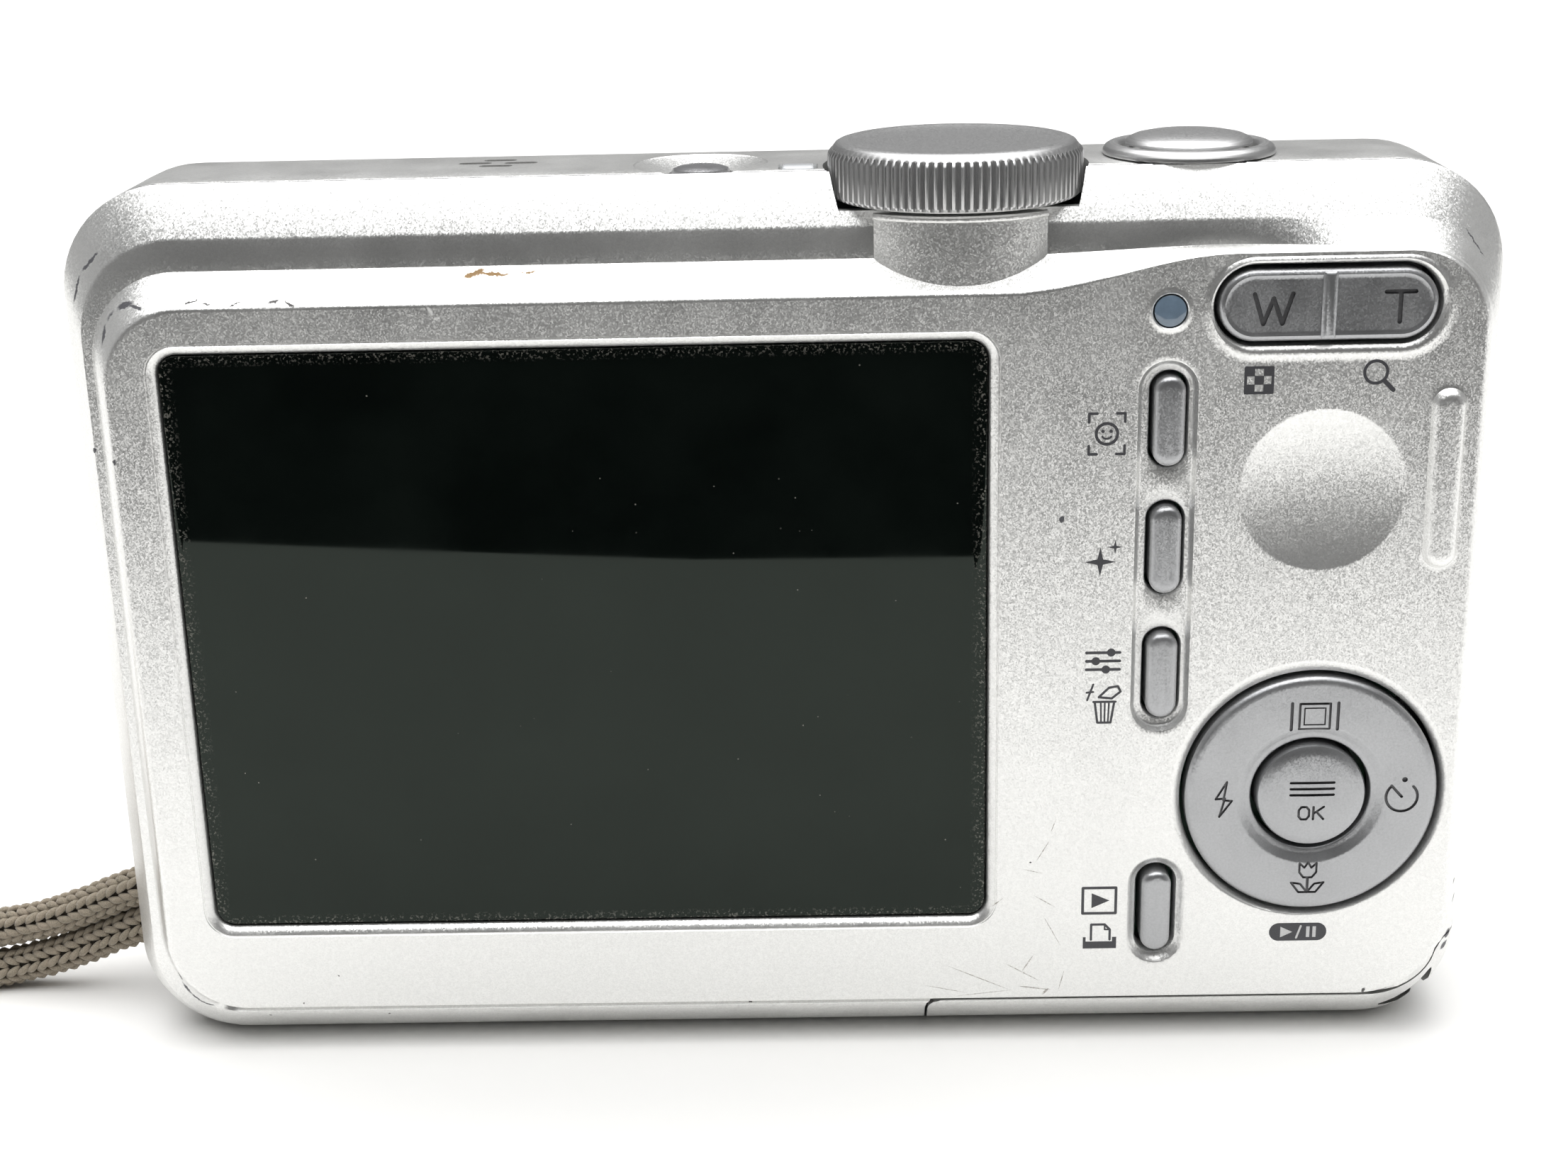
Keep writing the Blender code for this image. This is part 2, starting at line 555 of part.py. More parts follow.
def make_flash():
    clear = material("flash_lens", (0.75, 0.76, 0.78), 0.15, 0.0)
    chrome = material("chrome_trim", (0.8, 0.8, 0.8), 0.12, 1.0)
    amber = material("focus_lamp_lens", (0.5, 0.15, 0.02), 0.15, 0.0)
    box("flash_window", (4.5, 21.2, 47.5), (15.5, 22.6, 54.5), clear, 0.2)
    reflector = box("flash_reflector", (5.0, 16.8, 48.0), (15.0, 20.8, 54.0), chrome)
    combine(reflector, [box("reflector_space", (5.6, 17.6, 48.8), (14.4, 22, 53.2))])
    disc("flash_tube", 0.9, 6.0, 14.0, at(0, 19.0, 51.0), clear, "X", 12)
    disc("focus_lamp", 1.8, 19.6, 22.0, at(-0.8, 0, 55.2), amber, "Y", 20)


def make_top_controls():
    dark = material("dial_metal", (0.2, 0.2, 0.21), 0.35, 0.9)
    satin = material("satin_silver", (0.5, 0.5, 0.5), 0.3, 0.8)
    black = material("black_plastic", (0.02, 0.02, 0.022), 0.45, 0.0)
    lamp = material("lamp_lens", (0.8, 0.82, 0.85), 0.25, 0.0)

    mode_dial(dark)
    base = box("dial_base", (4.0, 5.4, 58.6), (20.0, 15.4, 60.2), black)
    combine(base, [disc("dial_shaft_space", 1.3, 50, 66, at(DIAL_X, DIAL_DEPTH, 0), steps=16)])

    ring = [(4.65, 63.6), (4.9, 63.8), (5.4, 63.7), (5.85, 63.4), (5.85, 63.2), (4.65, 63.2)]
    turned("shutter_ring", ring, at(*SHUTTER, 0), satin)
    button = [(0, 64.5), (2.0, 64.45), (3.6, 64.2), (4.3, 63.8), (4.3, 63.6), (3.0, 63.6), (3.0, 60.4),
              (1.5, 60.2), (1.5, 58.8), (0, 58.8)]
    turned("shutter_button", button, at(*SHUTTER, 0), satin)
    power = [(0, 62.8), (1.2, 62.78), (2.0, 62.5), (2.0, 60.6), (0.8, 60.6), (0.8, 58.8), (0, 58.8)]
    turned("power_button", power, at(*POWER, 0), satin, steps=24)
    box("power_led", (0.35, 5.9, 60.8), (2.45, 7.9, 62.95), lamp, 0.1)


def mode_dial(look):
    """A knurled knob: a toothed outline over the grip height, capped by a turned top and shaft."""
    teeth = []
    for i in range(DIAL_TEETH * 2):
        a = math.pi * i / DIAL_TEETH
        r = DIAL_R if i % 2 == 0 else DIAL_R - 0.35
        teeth.append((r * math.cos(a), r * math.sin(a)))
    low, high = DIAL_LOW, 64.0
    grip = plate("mode_dial", [teeth], -(high - low) / 2, (high - low) / 2, look)
    # The outline is laid flat on the turning axis instead of upright
    grip.rotation_euler.x = 0
    grip.location = at(DIAL_X, DIAL_DEPTH, (low + high) / 2)
    cap = [(0, DIAL_HIGH - 0.1), (7.0, DIAL_HIGH - 0.1), (7.6, DIAL_HIGH), (8.0, DIAL_HIGH - 0.1),
           (8.2, 63.9), (8.2, 63.0), (0, 63.0)]
    top = turned("dial_cap", cap, at(DIAL_X, DIAL_DEPTH, 0), steps=48)
    shaft = disc("dial_shaft", 1.0, 58.2, 62, at(DIAL_X, DIAL_DEPTH, 0), steps=16)
    combine(grip, [top, shaft], "UNION")


def make_back_controls():
    grey = material("key_grey", (0.28, 0.28, 0.29), 0.35, 0.6)
    black = material("black_plastic", (0.02, 0.02, 0.022), 0.45, 0.0)
    lamp = material("lamp_lens", (0.8, 0.82, 0.85), 0.25, 0.0)
    for name, z in KEY_Z.items():
        key(name, (KEY_X, z), grey)
    key("playback_button", PLAY_KEY, grey)

    rocker = plate("zoom_rocker", [stadium(ROCKER_CENTRE, ROCKER_SIZE)], -0.5, 2.6, grey)
    origin_to(rocker, at(ROCKER_CENTRE[0], 3.0, ROCKER_CENTRE[1]))

    centre = at(PAD_CENTRE[0], 0, PAD_CENTRE[1])
    pad = [(4.15, 1.5), (8.65, 1.5), (8.65, 0.1), (8.2, -0.25), (6.5, -0.2), (4.6, -0.05), (4.15, 0.2)]
    turned("nav_pad", pad, centre, grey, "Y", 40)
    tube("nav_gimbal", 7.4, 4.4, 2.1, 2.7, centre, black, "Y", 32)
    ok = [(0, 2.6), (3.7, 2.6), (3.7, 0.1), (3.3, -0.3), (0, -0.5)]
    turned("ok_button", ok, centre, grey, "Y", 32)
    disc("status_led", 0.9, -0.05, 1.3, at(STATUS_LAMP[0], 0, STATUS_LAMP[1]), lamp, "Y", 16)


def key(name, centre, look):
    cap = plate(name, [stadium(centre, KEY_SIZE)], -0.4, 2.5, look)
    origin_to(cap, at(centre[0], 1.0, centre[1]))
    return cap


def origin_to(obj, point):
    """Move an object's origin to a point without moving its shape."""
    obj.data.transform(obj.matrix_world)
    obj.data.transform(Matrix.Translation(-point))
    obj.matrix_world = Matrix.Translation(point)


def make_terminal_cover():
    silver = material("silver_paint", (0.62, 0.62, 0.62), 0.35, 0.6)
    cover = box("terminal_cover", (-HALF_WIDTH, 7.5, 29.0), (-47.3, 14.7, 43.0), silver)
    bpy.context.view_layer.update()
    origin_to(cover, at(-48.3, 14.7, 36.0))


def make_tripod_socket():
    steel = material("steel", (0.35, 0.35, 0.36), 0.35, 1.0)
    socket = [(0, 8.0), (4.4, 8.0), (4.4, 0.0), (3.05, 0.0), (3.05, 7.0), (0, 7.0)]
    turned("tripod_socket", socket, at(*TRIPOD, 0), steel, steps=24)


def make_strap():
    steel = material("steel", (0.35, 0.35, 0.36), 0.35, 1.0)
    cloth = material("strap_knit", (0.19, 0.15, 0.12), 0.9, 0.0)
    disc("strap_bar", 0.6, 3.9, 11.3, at(-45.3, STRAP_DEPTH, 0), steel, steps=12)
    box("strap_ferrule", (-47.7, STRAP_DEPTH - 1.6, 4.0), (-46.4, STRAP_DEPTH + 1.6, 11.2), steel, 0.3)
    strap_cord(cloth)


def smooth_route(route, spacing):
    """Points at an even spacing along a Catmull-Rom curve through the route."""
    points = [at(*place) for place in route]
    fine = []
    for i in range(len(points) - 1):
        p1, p2 = points[i], points[i + 1]
        p0 = points[i - 1] if i else p1 * 2 - p2
        p3 = points[i + 2] if i + 2 < len(points) else p2 * 2 - p1
        for k in range(20):
            t = k / 20
            fine.append(0.5 * (p1 * 2 + (p2 - p0) * t + (p0 * 2 - p1 * 5 + p2 * 4 - p3) * t ** 2
                               + (p1 * 3 - p0 - p2 * 3 + p3) * t ** 3))
    fine.append(points[-1])
    total = sum((b - a).length for a, b in zip(fine, fine[1:]))
    count = max(2, round(total / (spacing * MM)))
    result, walked, target = [fine[0]], 0.0, total / count
    for a, b in zip(fine, fine[1:]):
        step = (b - a).length
        while walked + step >= target * len(result) - 1e-9 and len(result) < count:
            result.append(a.lerp(b, (target * len(result) - walked) / step))
        walked += step
    result.append(fine[-1])
    return result


def strap_cord(look):
    curve = bpy.data.curves.new("strap_cord", "CURVE")
    curve.dimensions = "3D"
    curve.bevel_depth = STRAP_D / 2 * MM
    curve.bevel_resolution = 2
    curve.use_fill_caps = True
    points = smooth_route(STRAP_ROUTE, 5.0)
    spline = curve.splines.new("POLY")
    spline.points.add(len(points) - 1)
    for point, place in zip(spline.points, points):
        point.co = (*place, 1)
    meshed("strap_cord", curve, (0, 0, 0), (0, 0, 0), look)


clear_scene()
PIECES = new_collection("compact_camera")
CUTTERS = new_collection("cutters")
make_case()
make_screws()
make_screen()
make_boards()
make_power()
make_battery_door()
make_lens()
make_flash()
make_top_controls()
make_back_controls()
make_terminal_cover()
make_tripod_socket()
make_strap()
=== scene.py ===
"""Looks of the compact digital camera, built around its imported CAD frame.

Points are (x, depth, z) in millimetres. Depth runs from the plane of the back face towards the lens.
"""
import math

import bmesh
import bpy
import numpy as np
from mathutils import Matrix, Vector
from mathutils.geometry import delaunay_2d_cdt


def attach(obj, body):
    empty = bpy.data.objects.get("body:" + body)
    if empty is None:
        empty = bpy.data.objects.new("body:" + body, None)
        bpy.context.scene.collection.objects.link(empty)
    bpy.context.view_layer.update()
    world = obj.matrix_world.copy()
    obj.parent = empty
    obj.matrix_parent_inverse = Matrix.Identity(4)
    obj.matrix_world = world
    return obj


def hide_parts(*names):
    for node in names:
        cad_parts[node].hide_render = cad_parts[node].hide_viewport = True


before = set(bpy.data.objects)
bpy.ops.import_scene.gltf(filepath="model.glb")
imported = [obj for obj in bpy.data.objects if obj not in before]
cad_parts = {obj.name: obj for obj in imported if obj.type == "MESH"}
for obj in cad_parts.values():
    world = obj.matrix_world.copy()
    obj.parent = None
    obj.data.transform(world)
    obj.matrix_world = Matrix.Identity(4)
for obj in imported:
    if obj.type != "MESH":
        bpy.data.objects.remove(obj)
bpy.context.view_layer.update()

MM = 0.001
BACK = -11.5          # y of the back face's plane
HALF_WIDTH, HEIGHT = 48.5, 62.9
DIAL, SHUTTER, POWER = (12.0, 7.0), (28.1, 9.6), (-5.3, 9.4)
LENS_X, LENS_Z = -14.0, 32.0
PAD = (36.65, 19.25)
KEY_X = 25.9
KEYS = {"face_button": 46.5, "effect_button": 37.5, "function_button": 28.4}
PLAY_KEY = (26.0, 10.4)
LAMP = (25.76, 53.95)
HINGE = (47.4, 6.1)
DIAL_POCKET_R = 8.95
BOSS_X, BOSS_DEPTH, BOSS_R, BOSS_TURN = 12.1, 10.6, 10.1, 34.7
FOCAL_LENGTH = 53.06
VIEW_TURNS = (-1.122, 18.483, -1.342)          # yaw, pitch and roll in degrees
VIEW_POINT = (2.862, -161.596, 85.41)
FLOOR = ((-1.6, -0.1375), (1.6, 2.6))          # two corners, in metres


# ------------------------------------------------------------------ camera, floor and light

def at(x, depth, z):
    return Vector((x, depth + BACK, z)) * MM


def make_camera():
    data = bpy.data.cameras.new("view")
    data.sensor_fit = "HORIZONTAL"
    data.sensor_width = 36.0
    data.lens = FOCAL_LENGTH
    data.clip_start, data.clip_end = 0.005, 20
    camera = bpy.data.objects.new("view", data)
    bpy.context.scene.collection.objects.link(camera)
    yaw, pitch, roll = (math.radians(turn) for turn in VIEW_TURNS)
    flat = Matrix(((1, 0, 0), (0, 0, -1), (0, 1, 0)))
    tilt = Matrix.Rotation(roll, 3, "Z") @ Matrix.Rotation(pitch, 3, "X")
    right, down, ahead = tilt @ flat @ Matrix.Rotation(yaw, 3, "Z")
    placed = Matrix((right, -down, -ahead)).transposed().to_4x4()
    placed.translation = Vector(VIEW_POINT) * MM
    camera.matrix_world = placed
    bpy.context.scene.camera = camera


def new_material(name):
    made = bpy.data.materials.new(name)
    made.use_nodes = True
    return made, made.node_tree, made.node_tree.nodes["Principled BSDF"]


def make_stage():
    mesh = bpy.data.meshes.new("floor")
    (x0, y0), (x1, y1) = FLOOR
    mesh.from_pydata([(x0, y0, 0), (x1, y0, 0), (x1, y1, 0), (x0, y1, 0)], [], [(0, 1, 2, 3)])
    floor = bpy.data.objects.new("floor", mesh)
    bpy.context.scene.collection.objects.link(floor)
    made, _, shader = new_material("pale_table")
    shader.inputs["Base Color"].default_value = (0.88, 0.875, 0.86, 1)
    shader.inputs["Roughness"].default_value = 0.6
    mesh.materials.append(made)


def make_world():
    """A soft studio: bright overhead, mid grey behind the object and dark in front of it."""
    world = bpy.data.worlds.new("studio")
    bpy.context.scene.world = world
    world.use_nodes = True
    tree = world.node_tree
    tree.nodes.clear()
    out = tree.nodes.new("ShaderNodeOutputWorld")
    back = tree.nodes.new("ShaderNodeBackground")
    link(tree, back.outputs[0], out.inputs[0])
    place = tree.nodes.new("ShaderNodeTexCoord").outputs["Generated"]
    x, y, z = node(tree, "SeparateXYZ", i0=place).outputs
    above = span(tree, z, 0.62, 0.93, 0.0, 4.9, True)
    behind = span(tree, y, -0.1, 0.7, 0.03, 0.14, True)
    side = span(tree, math_node(tree, "ABSOLUTE", x), 0.6, 0.95, 0.0, 0.36, True)
    horizon = span(tree, z, -0.02, 0.02, 0.0, 1.0, True)
    total = add(tree, above, times(tree, horizon, add(tree, behind, side)))
    link(tree, total, back.inputs["Strength"])


# ------------------------------------------------------------------ outlines and mesh helpers

def arc(cx, cz, r, start, end, n=14):
    turns = [math.radians(start + (end - start) * i / n) for i in range(n + 1)]
    return [(cx + r * math.cos(a), cz + r * math.sin(a)) for a in turns]


def rect(x0, x1, z0, z1, r, n=8):
    points = []
    for k, (cx, cz) in enumerate(((x1 - r, z1 - r), (x0 + r, z1 - r), (x0 + r, z0 + r), (x1 - r, z0 + r))):
        points += arc(cx, cz, r, 90 * k, 90 * k + 90, n)
    return points


def slot_outline(cx, cz, w, h, n=10):
    return rect(cx - w / 2, cx + w / 2, cz - h / 2, cz + h / 2, min(w, h) / 2 - 0.004, n)


def slot_levels(cx, cz, w, h, levels, n):
    """Outlines with their depths, each a slot moved inwards by the first number of its level."""
    return [(slot_outline(cx, cz, w - 2 * i, h - 2 * i, n), depth) for i, depth in levels]


def circle(cx, cz, r, n=96):
    turns = [2 * math.pi * i / n for i in range(n)]
    return [(cx + r * math.cos(a), cz + r * math.sin(a)) for a in turns]


def fillet(points, radius, n=3, closed=False):
    """The polyline with each inner corner replaced by a short curve."""
    out = []
    count = len(points)
    for i, p in enumerate(points):
        if not closed and i in (0, count - 1):
            out.append(p)
            continue
        p = Vector(p)
        before, after = Vector(points[i - 1]), Vector(points[(i + 1) % count])
        a = p + (before - p).normalized() * min(radius, (before - p).length * 0.45)
        b = p + (after - p).normalized() * min(radius, (after - p).length * 0.45)
        for k in range(n + 1):
            t = k / n
            out.append(tuple(a * (1 - t) ** 2 + p * 2 * t * (1 - t) + b * t ** 2))
    return out


def build(name, verts, faces, look=None, sharp=32.0):
    """An object from points (x, depth, z), with its normals outwards and its sharp edges marked."""
    mesh = bpy.data.meshes.new(name)
    co = (np.array(verts, float) + (0, BACK, 0)) * MM
    mesh.from_pydata(co.tolist(), [], [tuple(int(i) for i in f) for f in faces])
    bm = bmesh.new()
    bm.from_mesh(mesh)
    bmesh.ops.remove_doubles(bm, verts=bm.verts, dist=1e-7)
    bmesh.ops.recalc_face_normals(bm, faces=bm.faces)
    bm.to_mesh(mesh)
    bm.free()
    mesh.shade_smooth()
    mesh.set_sharp_from_angle(angle=math.radians(sharp))
    obj = bpy.data.objects.new(name, mesh)
    bpy.context.scene.collection.objects.link(obj)
    if look:
        mesh.materials.append(look)
    return obj


def settle(obj, body, slot, *nodes):
    """Say what the piece rides on and which CAD nodes it stands for; the slot argument is not used."""
    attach(obj, body)
    if nodes:
        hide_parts(*nodes)
    return obj


def ring_rows(count, rings, start=0):
    """Vertex numbers of rings that follow each other."""
    return [range(start + k * count, start + (k + 1) * count) for k in range(rings)]


def walls(rows):
    """Quads from each ring of vertex numbers to the next."""
    faces = []
    for near, far in zip(rows, rows[1:]):
        for i in range(len(near)):
            j = (i + 1) % len(near)
            faces.append((near[i], near[j], far[j], far[i]))
    return faces


def thickened(faces, count):
    """The faces, their copies on the next count vertices turned round, and a wall between the open edges."""
    used = {}
    for face in faces:
        for a, b in zip(face, face[1:] + face[:1]):
            edge = (min(a, b), max(a, b))
            used[edge] = used.get(edge, 0) + 1
    copies = [tuple(i + count for i in reversed(face)) for face in faces]
    return faces + copies + [(a, b, b + count, a + count) for (a, b), n in used.items() if n == 1]


def lofted(name, rings, look=None, sharp=32.0):
    """A closed solid through rings of points (x, depth, z) of equal length; the ends are capped."""
    rows = ring_rows(len(rings[0]), len(rings))
    return build(name, [p for ring in rings for p in ring], walls(rows) + [rows[0], rows[-1]], look, sharp)


def stack(name, levels, look=None, sharp=32.0):
    """A closed solid through outlines of equal length, each (points (x, z), depth)."""
    return lofted(name, [[(x, depth, z) for x, z in outline] for outline, depth in levels], look, sharp)


def lathe(name, profile, centre, axis, look=None, steps=96, sharp=32.0):
    """A turned solid: profile points (radius, height along the axis), centre (x, depth, z)."""
    cx, cd, cz = centre
    verts, rows = [], []

    def point(u, v, h):
        x, depth, z = {"X": (h, u, v), "Y": (u, h, v), "Z": (u, v, h)}[axis]
        return cx + x, cd + depth, cz + z

    for r, h in profile:
        if r < 1e-6:
            rows.append([len(verts)] * steps)
            verts.append(point(0, 0, h))
        else:
            rows.append(range(len(verts), len(verts) + steps))
            verts += [point(u, v, h) for u, v in circle(0, 0, r, steps)]
    if profile[0][0] > 1e-6 and profile[-1][0] > 1e-6:
        rows.append(rows[0])
    faces = [tuple(dict.fromkeys(face)) for face in walls(rows)]
    return build(name, verts, [face for face in faces if len(face) > 2], look, sharp)


def pit(name, radius, low, high, centre, axis="Z", steps=64):
    """A plain cylinder between two heights, to cut with."""
    return lathe(name, [(0, low), (radius, low), (radius, high), (0, high)], centre, axis, None, steps)


def prism(name, polygons, near, far, look=None):
    """The union of flat polygons in (x, z), given a thickness between two depths."""
    coords, faces = [], []
    for polygon in polygons:
        turn = sum(ax * bz - bx * az for (ax, az), (bx, bz) in zip(polygon, polygon[1:] + polygon[:1]))
        polygon = polygon if turn > 0 else polygon[::-1]
        faces.append(list(range(len(coords), len(coords) + len(polygon))))
        coords += [Vector(p) for p in polygon]
    flat, _, tris, _, _, origin = delaunay_2d_cdt(coords, [], faces, 0, 1e-5)
    tris = [tuple(t) for t, source in zip(tris, origin) if source]
    verts = [(p.x, depth, p.y) for depth in (near, far) for p in flat]
    return build(name, verts, thickened(tris, len(flat)), look)


def carve(obj, cutters, operation="DIFFERENCE", sharp=32.0):
    """Apply Booleans at once, so that the piece is a plain mesh again, and drop the cutters."""
    for cutter in cutters:
        step = obj.modifiers.new(cutter.name, "BOOLEAN")
        step.operation = operation
        step.solver = "EXACT"
        step.material_mode = "TRANSFER" if cutter.material_slots else "INDEX"
        step.object = cutter
    bpy.context.view_layer.update()
    result = bpy.data.meshes.new_from_object(obj.evaluated_get(bpy.context.evaluated_depsgraph_get()))
    obj.modifiers.clear()
    old, obj.data = obj.data, result
    bpy.data.meshes.remove(old)
    result.shade_smooth()
    result.set_sharp_from_angle(angle=math.radians(sharp))
    for cutter in cutters:
        bpy.data.objects.remove(cutter)
    return obj


def block(name, low, high, r=0.0, look=None):
    """A box between two corners (x, depth, z), with its edges rounded by r."""
    (x0, d0, z0), (x1, d1, z1) = low, high
    if not r:
        outline = [(x1, z1), (x0, z1), (x0, z0), (x1, z0)]
        return stack(name, [(outline, d0), (outline, d1)], look)
    levels = []
    for k in range(4):
        a = math.radians(30 * k)
        inset = r * (1 - math.sin(a))
        outline = rect(x0 + inset, x1 - inset, z0 + inset, z1 - inset, r, 4)
        levels.append((outline, d0 + r * (1 - math.cos(a))))
    levels += [(outline, d1 + d0 - depth) for outline, depth in reversed(levels)]
    return stack(name, levels, look)


# ------------------------------------------------------------------ materials

def link(tree, a, b):
    tree.links.new(a, b)


def node(tree, kind, operation=None, **inputs):
    """A new node; an input's value is a socket or a number, and i0, i1 and so on stand for input numbers."""
    made = tree.nodes.new("ShaderNode" + kind)
    if operation:
        made.operation = operation
    for key, value in inputs.items():
        key = int(key[1:]) if key[0] == "i" and key[1:].isdigit() else key.replace("_", " ")
        if hasattr(value, "is_linked"):
            link(tree, value, made.inputs[key])
        else:
            made.inputs[key].default_value = value
    return made


def math_node(tree, operation, a, b=0.0, clamp=False):
    made = node(tree, "Math", operation, i0=a, i1=b)
    made.use_clamp = clamp
    return made.outputs[0]


def add(tree, a, b, clamp=False):
    return math_node(tree, "ADD", a, b, clamp)


def times(tree, a, b):
    return math_node(tree, "MULTIPLY", a, b)


def larger(tree, a, b):
    return math_node(tree, "MAXIMUM", a, b)


def object_place(tree):
    return tree.nodes.new("ShaderNodeTexCoord").outputs["Object"]


def noise(tree, place, size_mm, detail=2.0, rough=0.5):
    return node(tree, "TexNoise", Vector=place, Scale=1 / (size_mm * MM), Detail=detail, Roughness=rough)


def span(tree, source, a, b, low, high, smooth=False):
    made = node(tree, "MapRange", i0=source, i1=a, i2=b, i3=low, i4=high)
    made.interpolation_type = "SMOOTHSTEP" if smooth else "LINEAR"
    return made.outputs[0]


def mixed(tree, factor, a, b):
    made = tree.nodes.new("ShaderNodeMix")
    made.data_type = "RGBA"
    for key, value in ((0, factor), (6, a), (7, b)):
        if hasattr(value, "is_linked"):
            tree.links.new(value, made.inputs[key])
        else:
            made.inputs[key].default_value = value if key == 0 else (*value, 1)
    return made.outputs[2]


def flake_normal(tree, place, size_mm, strength):
    """Each tiny flake of the paint tips the normal its own way, which gives the paint its sparkle."""
    cells = node(tree, "TexVoronoi", Vector=place, Scale=1 / (size_mm * MM))
    tip = node(tree, "VectorMath", "SUBTRACT", i0=cells.outputs["Color"], i1=(0.5, 0.5, 0.5))
    scaled = node(tree, "VectorMath", "SCALE", i0=tip.outputs[0], Scale=strength)
    normal = tree.nodes.new("ShaderNodeNewGeometry").outputs["Normal"]
    added = node(tree, "VectorMath", "ADD", i0=normal, i1=scaled.outputs[0])
    return node(tree, "VectorMath", "NORMALIZE", i0=added.outputs[0]).outputs[0], cells


MARK_REACH = 1.6          # half depth of a mark, across the face it lies on


def mark_mask(tree, place, marks):
    """1 inside the marks: thin ellipses (x, z, turn in degrees, half length, half width, depth)."""
    total = None
    for x, z, turn, length, width, depth in marks:
        spot = tree.nodes.new("ShaderNodeMapping")
        spot.vector_type = "TEXTURE"
        link(tree, place, spot.inputs["Vector"])
        spot.inputs["Location"].default_value = at(x, depth, z)
        spot.inputs["Rotation"].default_value = (0, math.radians(-turn), 0)
        spot.inputs["Scale"].default_value = (length * MM, MARK_REACH * MM, width * MM)
        reach = node(tree, "VectorMath", "LENGTH", i0=spot.outputs[0])
        inside = span(tree, reach.outputs["Value"], 0.8, 1.1, 1.0, 0.0)
        total = inside if total is None else larger(tree, total, inside)
    return total


CHIPS = [
    (-45.2, 53.6, 82, 1.0, 0.16, 0.4), (-44.75, 54.75, 52, 0.85, 0.26, 0.4),
    (-43.7, 55.4, 22, 0.9, 0.24, 0.5),
    (-42.8, 55.4, -8, 0.6, 0.13, 0.4), (-47.25, 56.3, 72, 1.1, 0.12, 2.4), (-46.1, 58.1, 46, 1.1, 0.13, 2.4),
    (-45.15, 5.6, -72, 0.75, 0.2, 0.2), (-44.8, 4.5, -55, 0.85, 0.22, 0.3),
    (-44.0, 3.75, -28, 0.7, 0.16, 0.4),
    (-43.2, 3.5, -5, 0.6, 0.1, 0.4), (46.0, 57.7, -55, 1.3, 0.06, 2.0), (47.5, 7.35, 10, 0.35, 0.42, 1.2),
    (47.3, 6.4, 50, 0.4, 0.3, 1.2), (-47.1, 45.2, 70, 0.22, 0.12, 2.3), (-45.1, 45.0, 80, 0.24, 0.1, 0.3),
    (18.85, 39.8, 75, 0.3, 0.14, 0.0), (47.75, 11.4, 80, 0.2, 0.1, 2.2), (47.9, 9.9, 60, 0.3, 0.08, 2.4),
]
SPECKS = [
    (-38.9, 55.72, 10, 0.5, 0.07, 0.2), (-37.8, 55.6, -15, 0.35, 0.06, 0.2),
    (-35.9, 55.58, 20, 0.45, 0.05, 0.2),
    (-33.4, 55.66, 5, 0.4, 0.09, 0.2), (-32.3, 55.5, -25, 0.4, 0.08, 0.2), (-38.6, 2.6, 0, 0.09, 0.07, 0.6),
    (-35.85, 3.88, 0, 0.08, 0.08, 0.0), (-33.1, 6.1, 0, 0.07, 0.05, 0.0), (-29.8, 2.6, 0, 0.08, 0.07, 0.6),
    (-3.2, 3.3, 0, 0.14, 0.08, 0.4), (41.2, 3.7, 70, 0.25, 0.12, 0.0), (17.0, 14.3, 0, 0.07, 0.07, 0.0),
]
SCRATCHES = [
    (13.3, 5.2, -24, 2.4, 0.035, 0.0), (16.5, 5.6, -30, 1.4, 0.04, 0.0), (19.35, 4.9, 76, 0.8, 0.035, 0.0),
    (17.9, 15.2, 60, 0.9, 0.035, 0.0), (17.2, 13.6, -14, 0.7, 0.03, 0.0), (18.1, 11.2, -32, 0.9, 0.035, 0.0),
    (18.6, 8.9, -62, 1.3, 0.03, 0.0), (13.8, 3.95, 6, 2.0, 0.03, 0.0), (17.4, 4.3, -8, 1.2, 0.05, 0.0),
    (16.9, 6.3, 58, 0.8, 0.05, 0.0), (14.7, 11.2, 40, 0.5, 0.04, 0.0), (18.2, 4.0, 44, 0.35, 0.09, 0.0),
    (11.0, 4.3, -12, 1.6, 0.025, 0.0), (18.6, 17.1, 70, 0.5, 0.03, 0.0),
]
BRIGHT_SCRATCHES = [
    (16.9, 52.4, -58, 1.1, 0.03, 0.0), (17.6, 51.3, -20, 0.7, 0.03, 0.0), (19.4, 48.4, -30, 0.8, 0.03, 0.0),
    (-23.0, 54.9, -60, 0.35, 0.12, 0.1), (-22.6, 54.4, 10, 0.25, 0.1, 0.0), (35.2, 39.2, 62, 0.3, 0.04, 0.5),
    (16.9, 46.0, 80, 2.6, 0.03, 0.0), (-33.6, 55.35, 20, 0.3, 0.09, 0.1), (15.6, 28.5, 84, 3.0, 0.025, 0.0),
]
SCUFF = [
    (-20.2, 57.0, 18, 0.75, 0.16, 1.8), (-18.9, 56.95, -4, 1.1, 0.09, 1.8), (-16.6, 57.0, 5, 0.5, 0.05, 1.8),
]


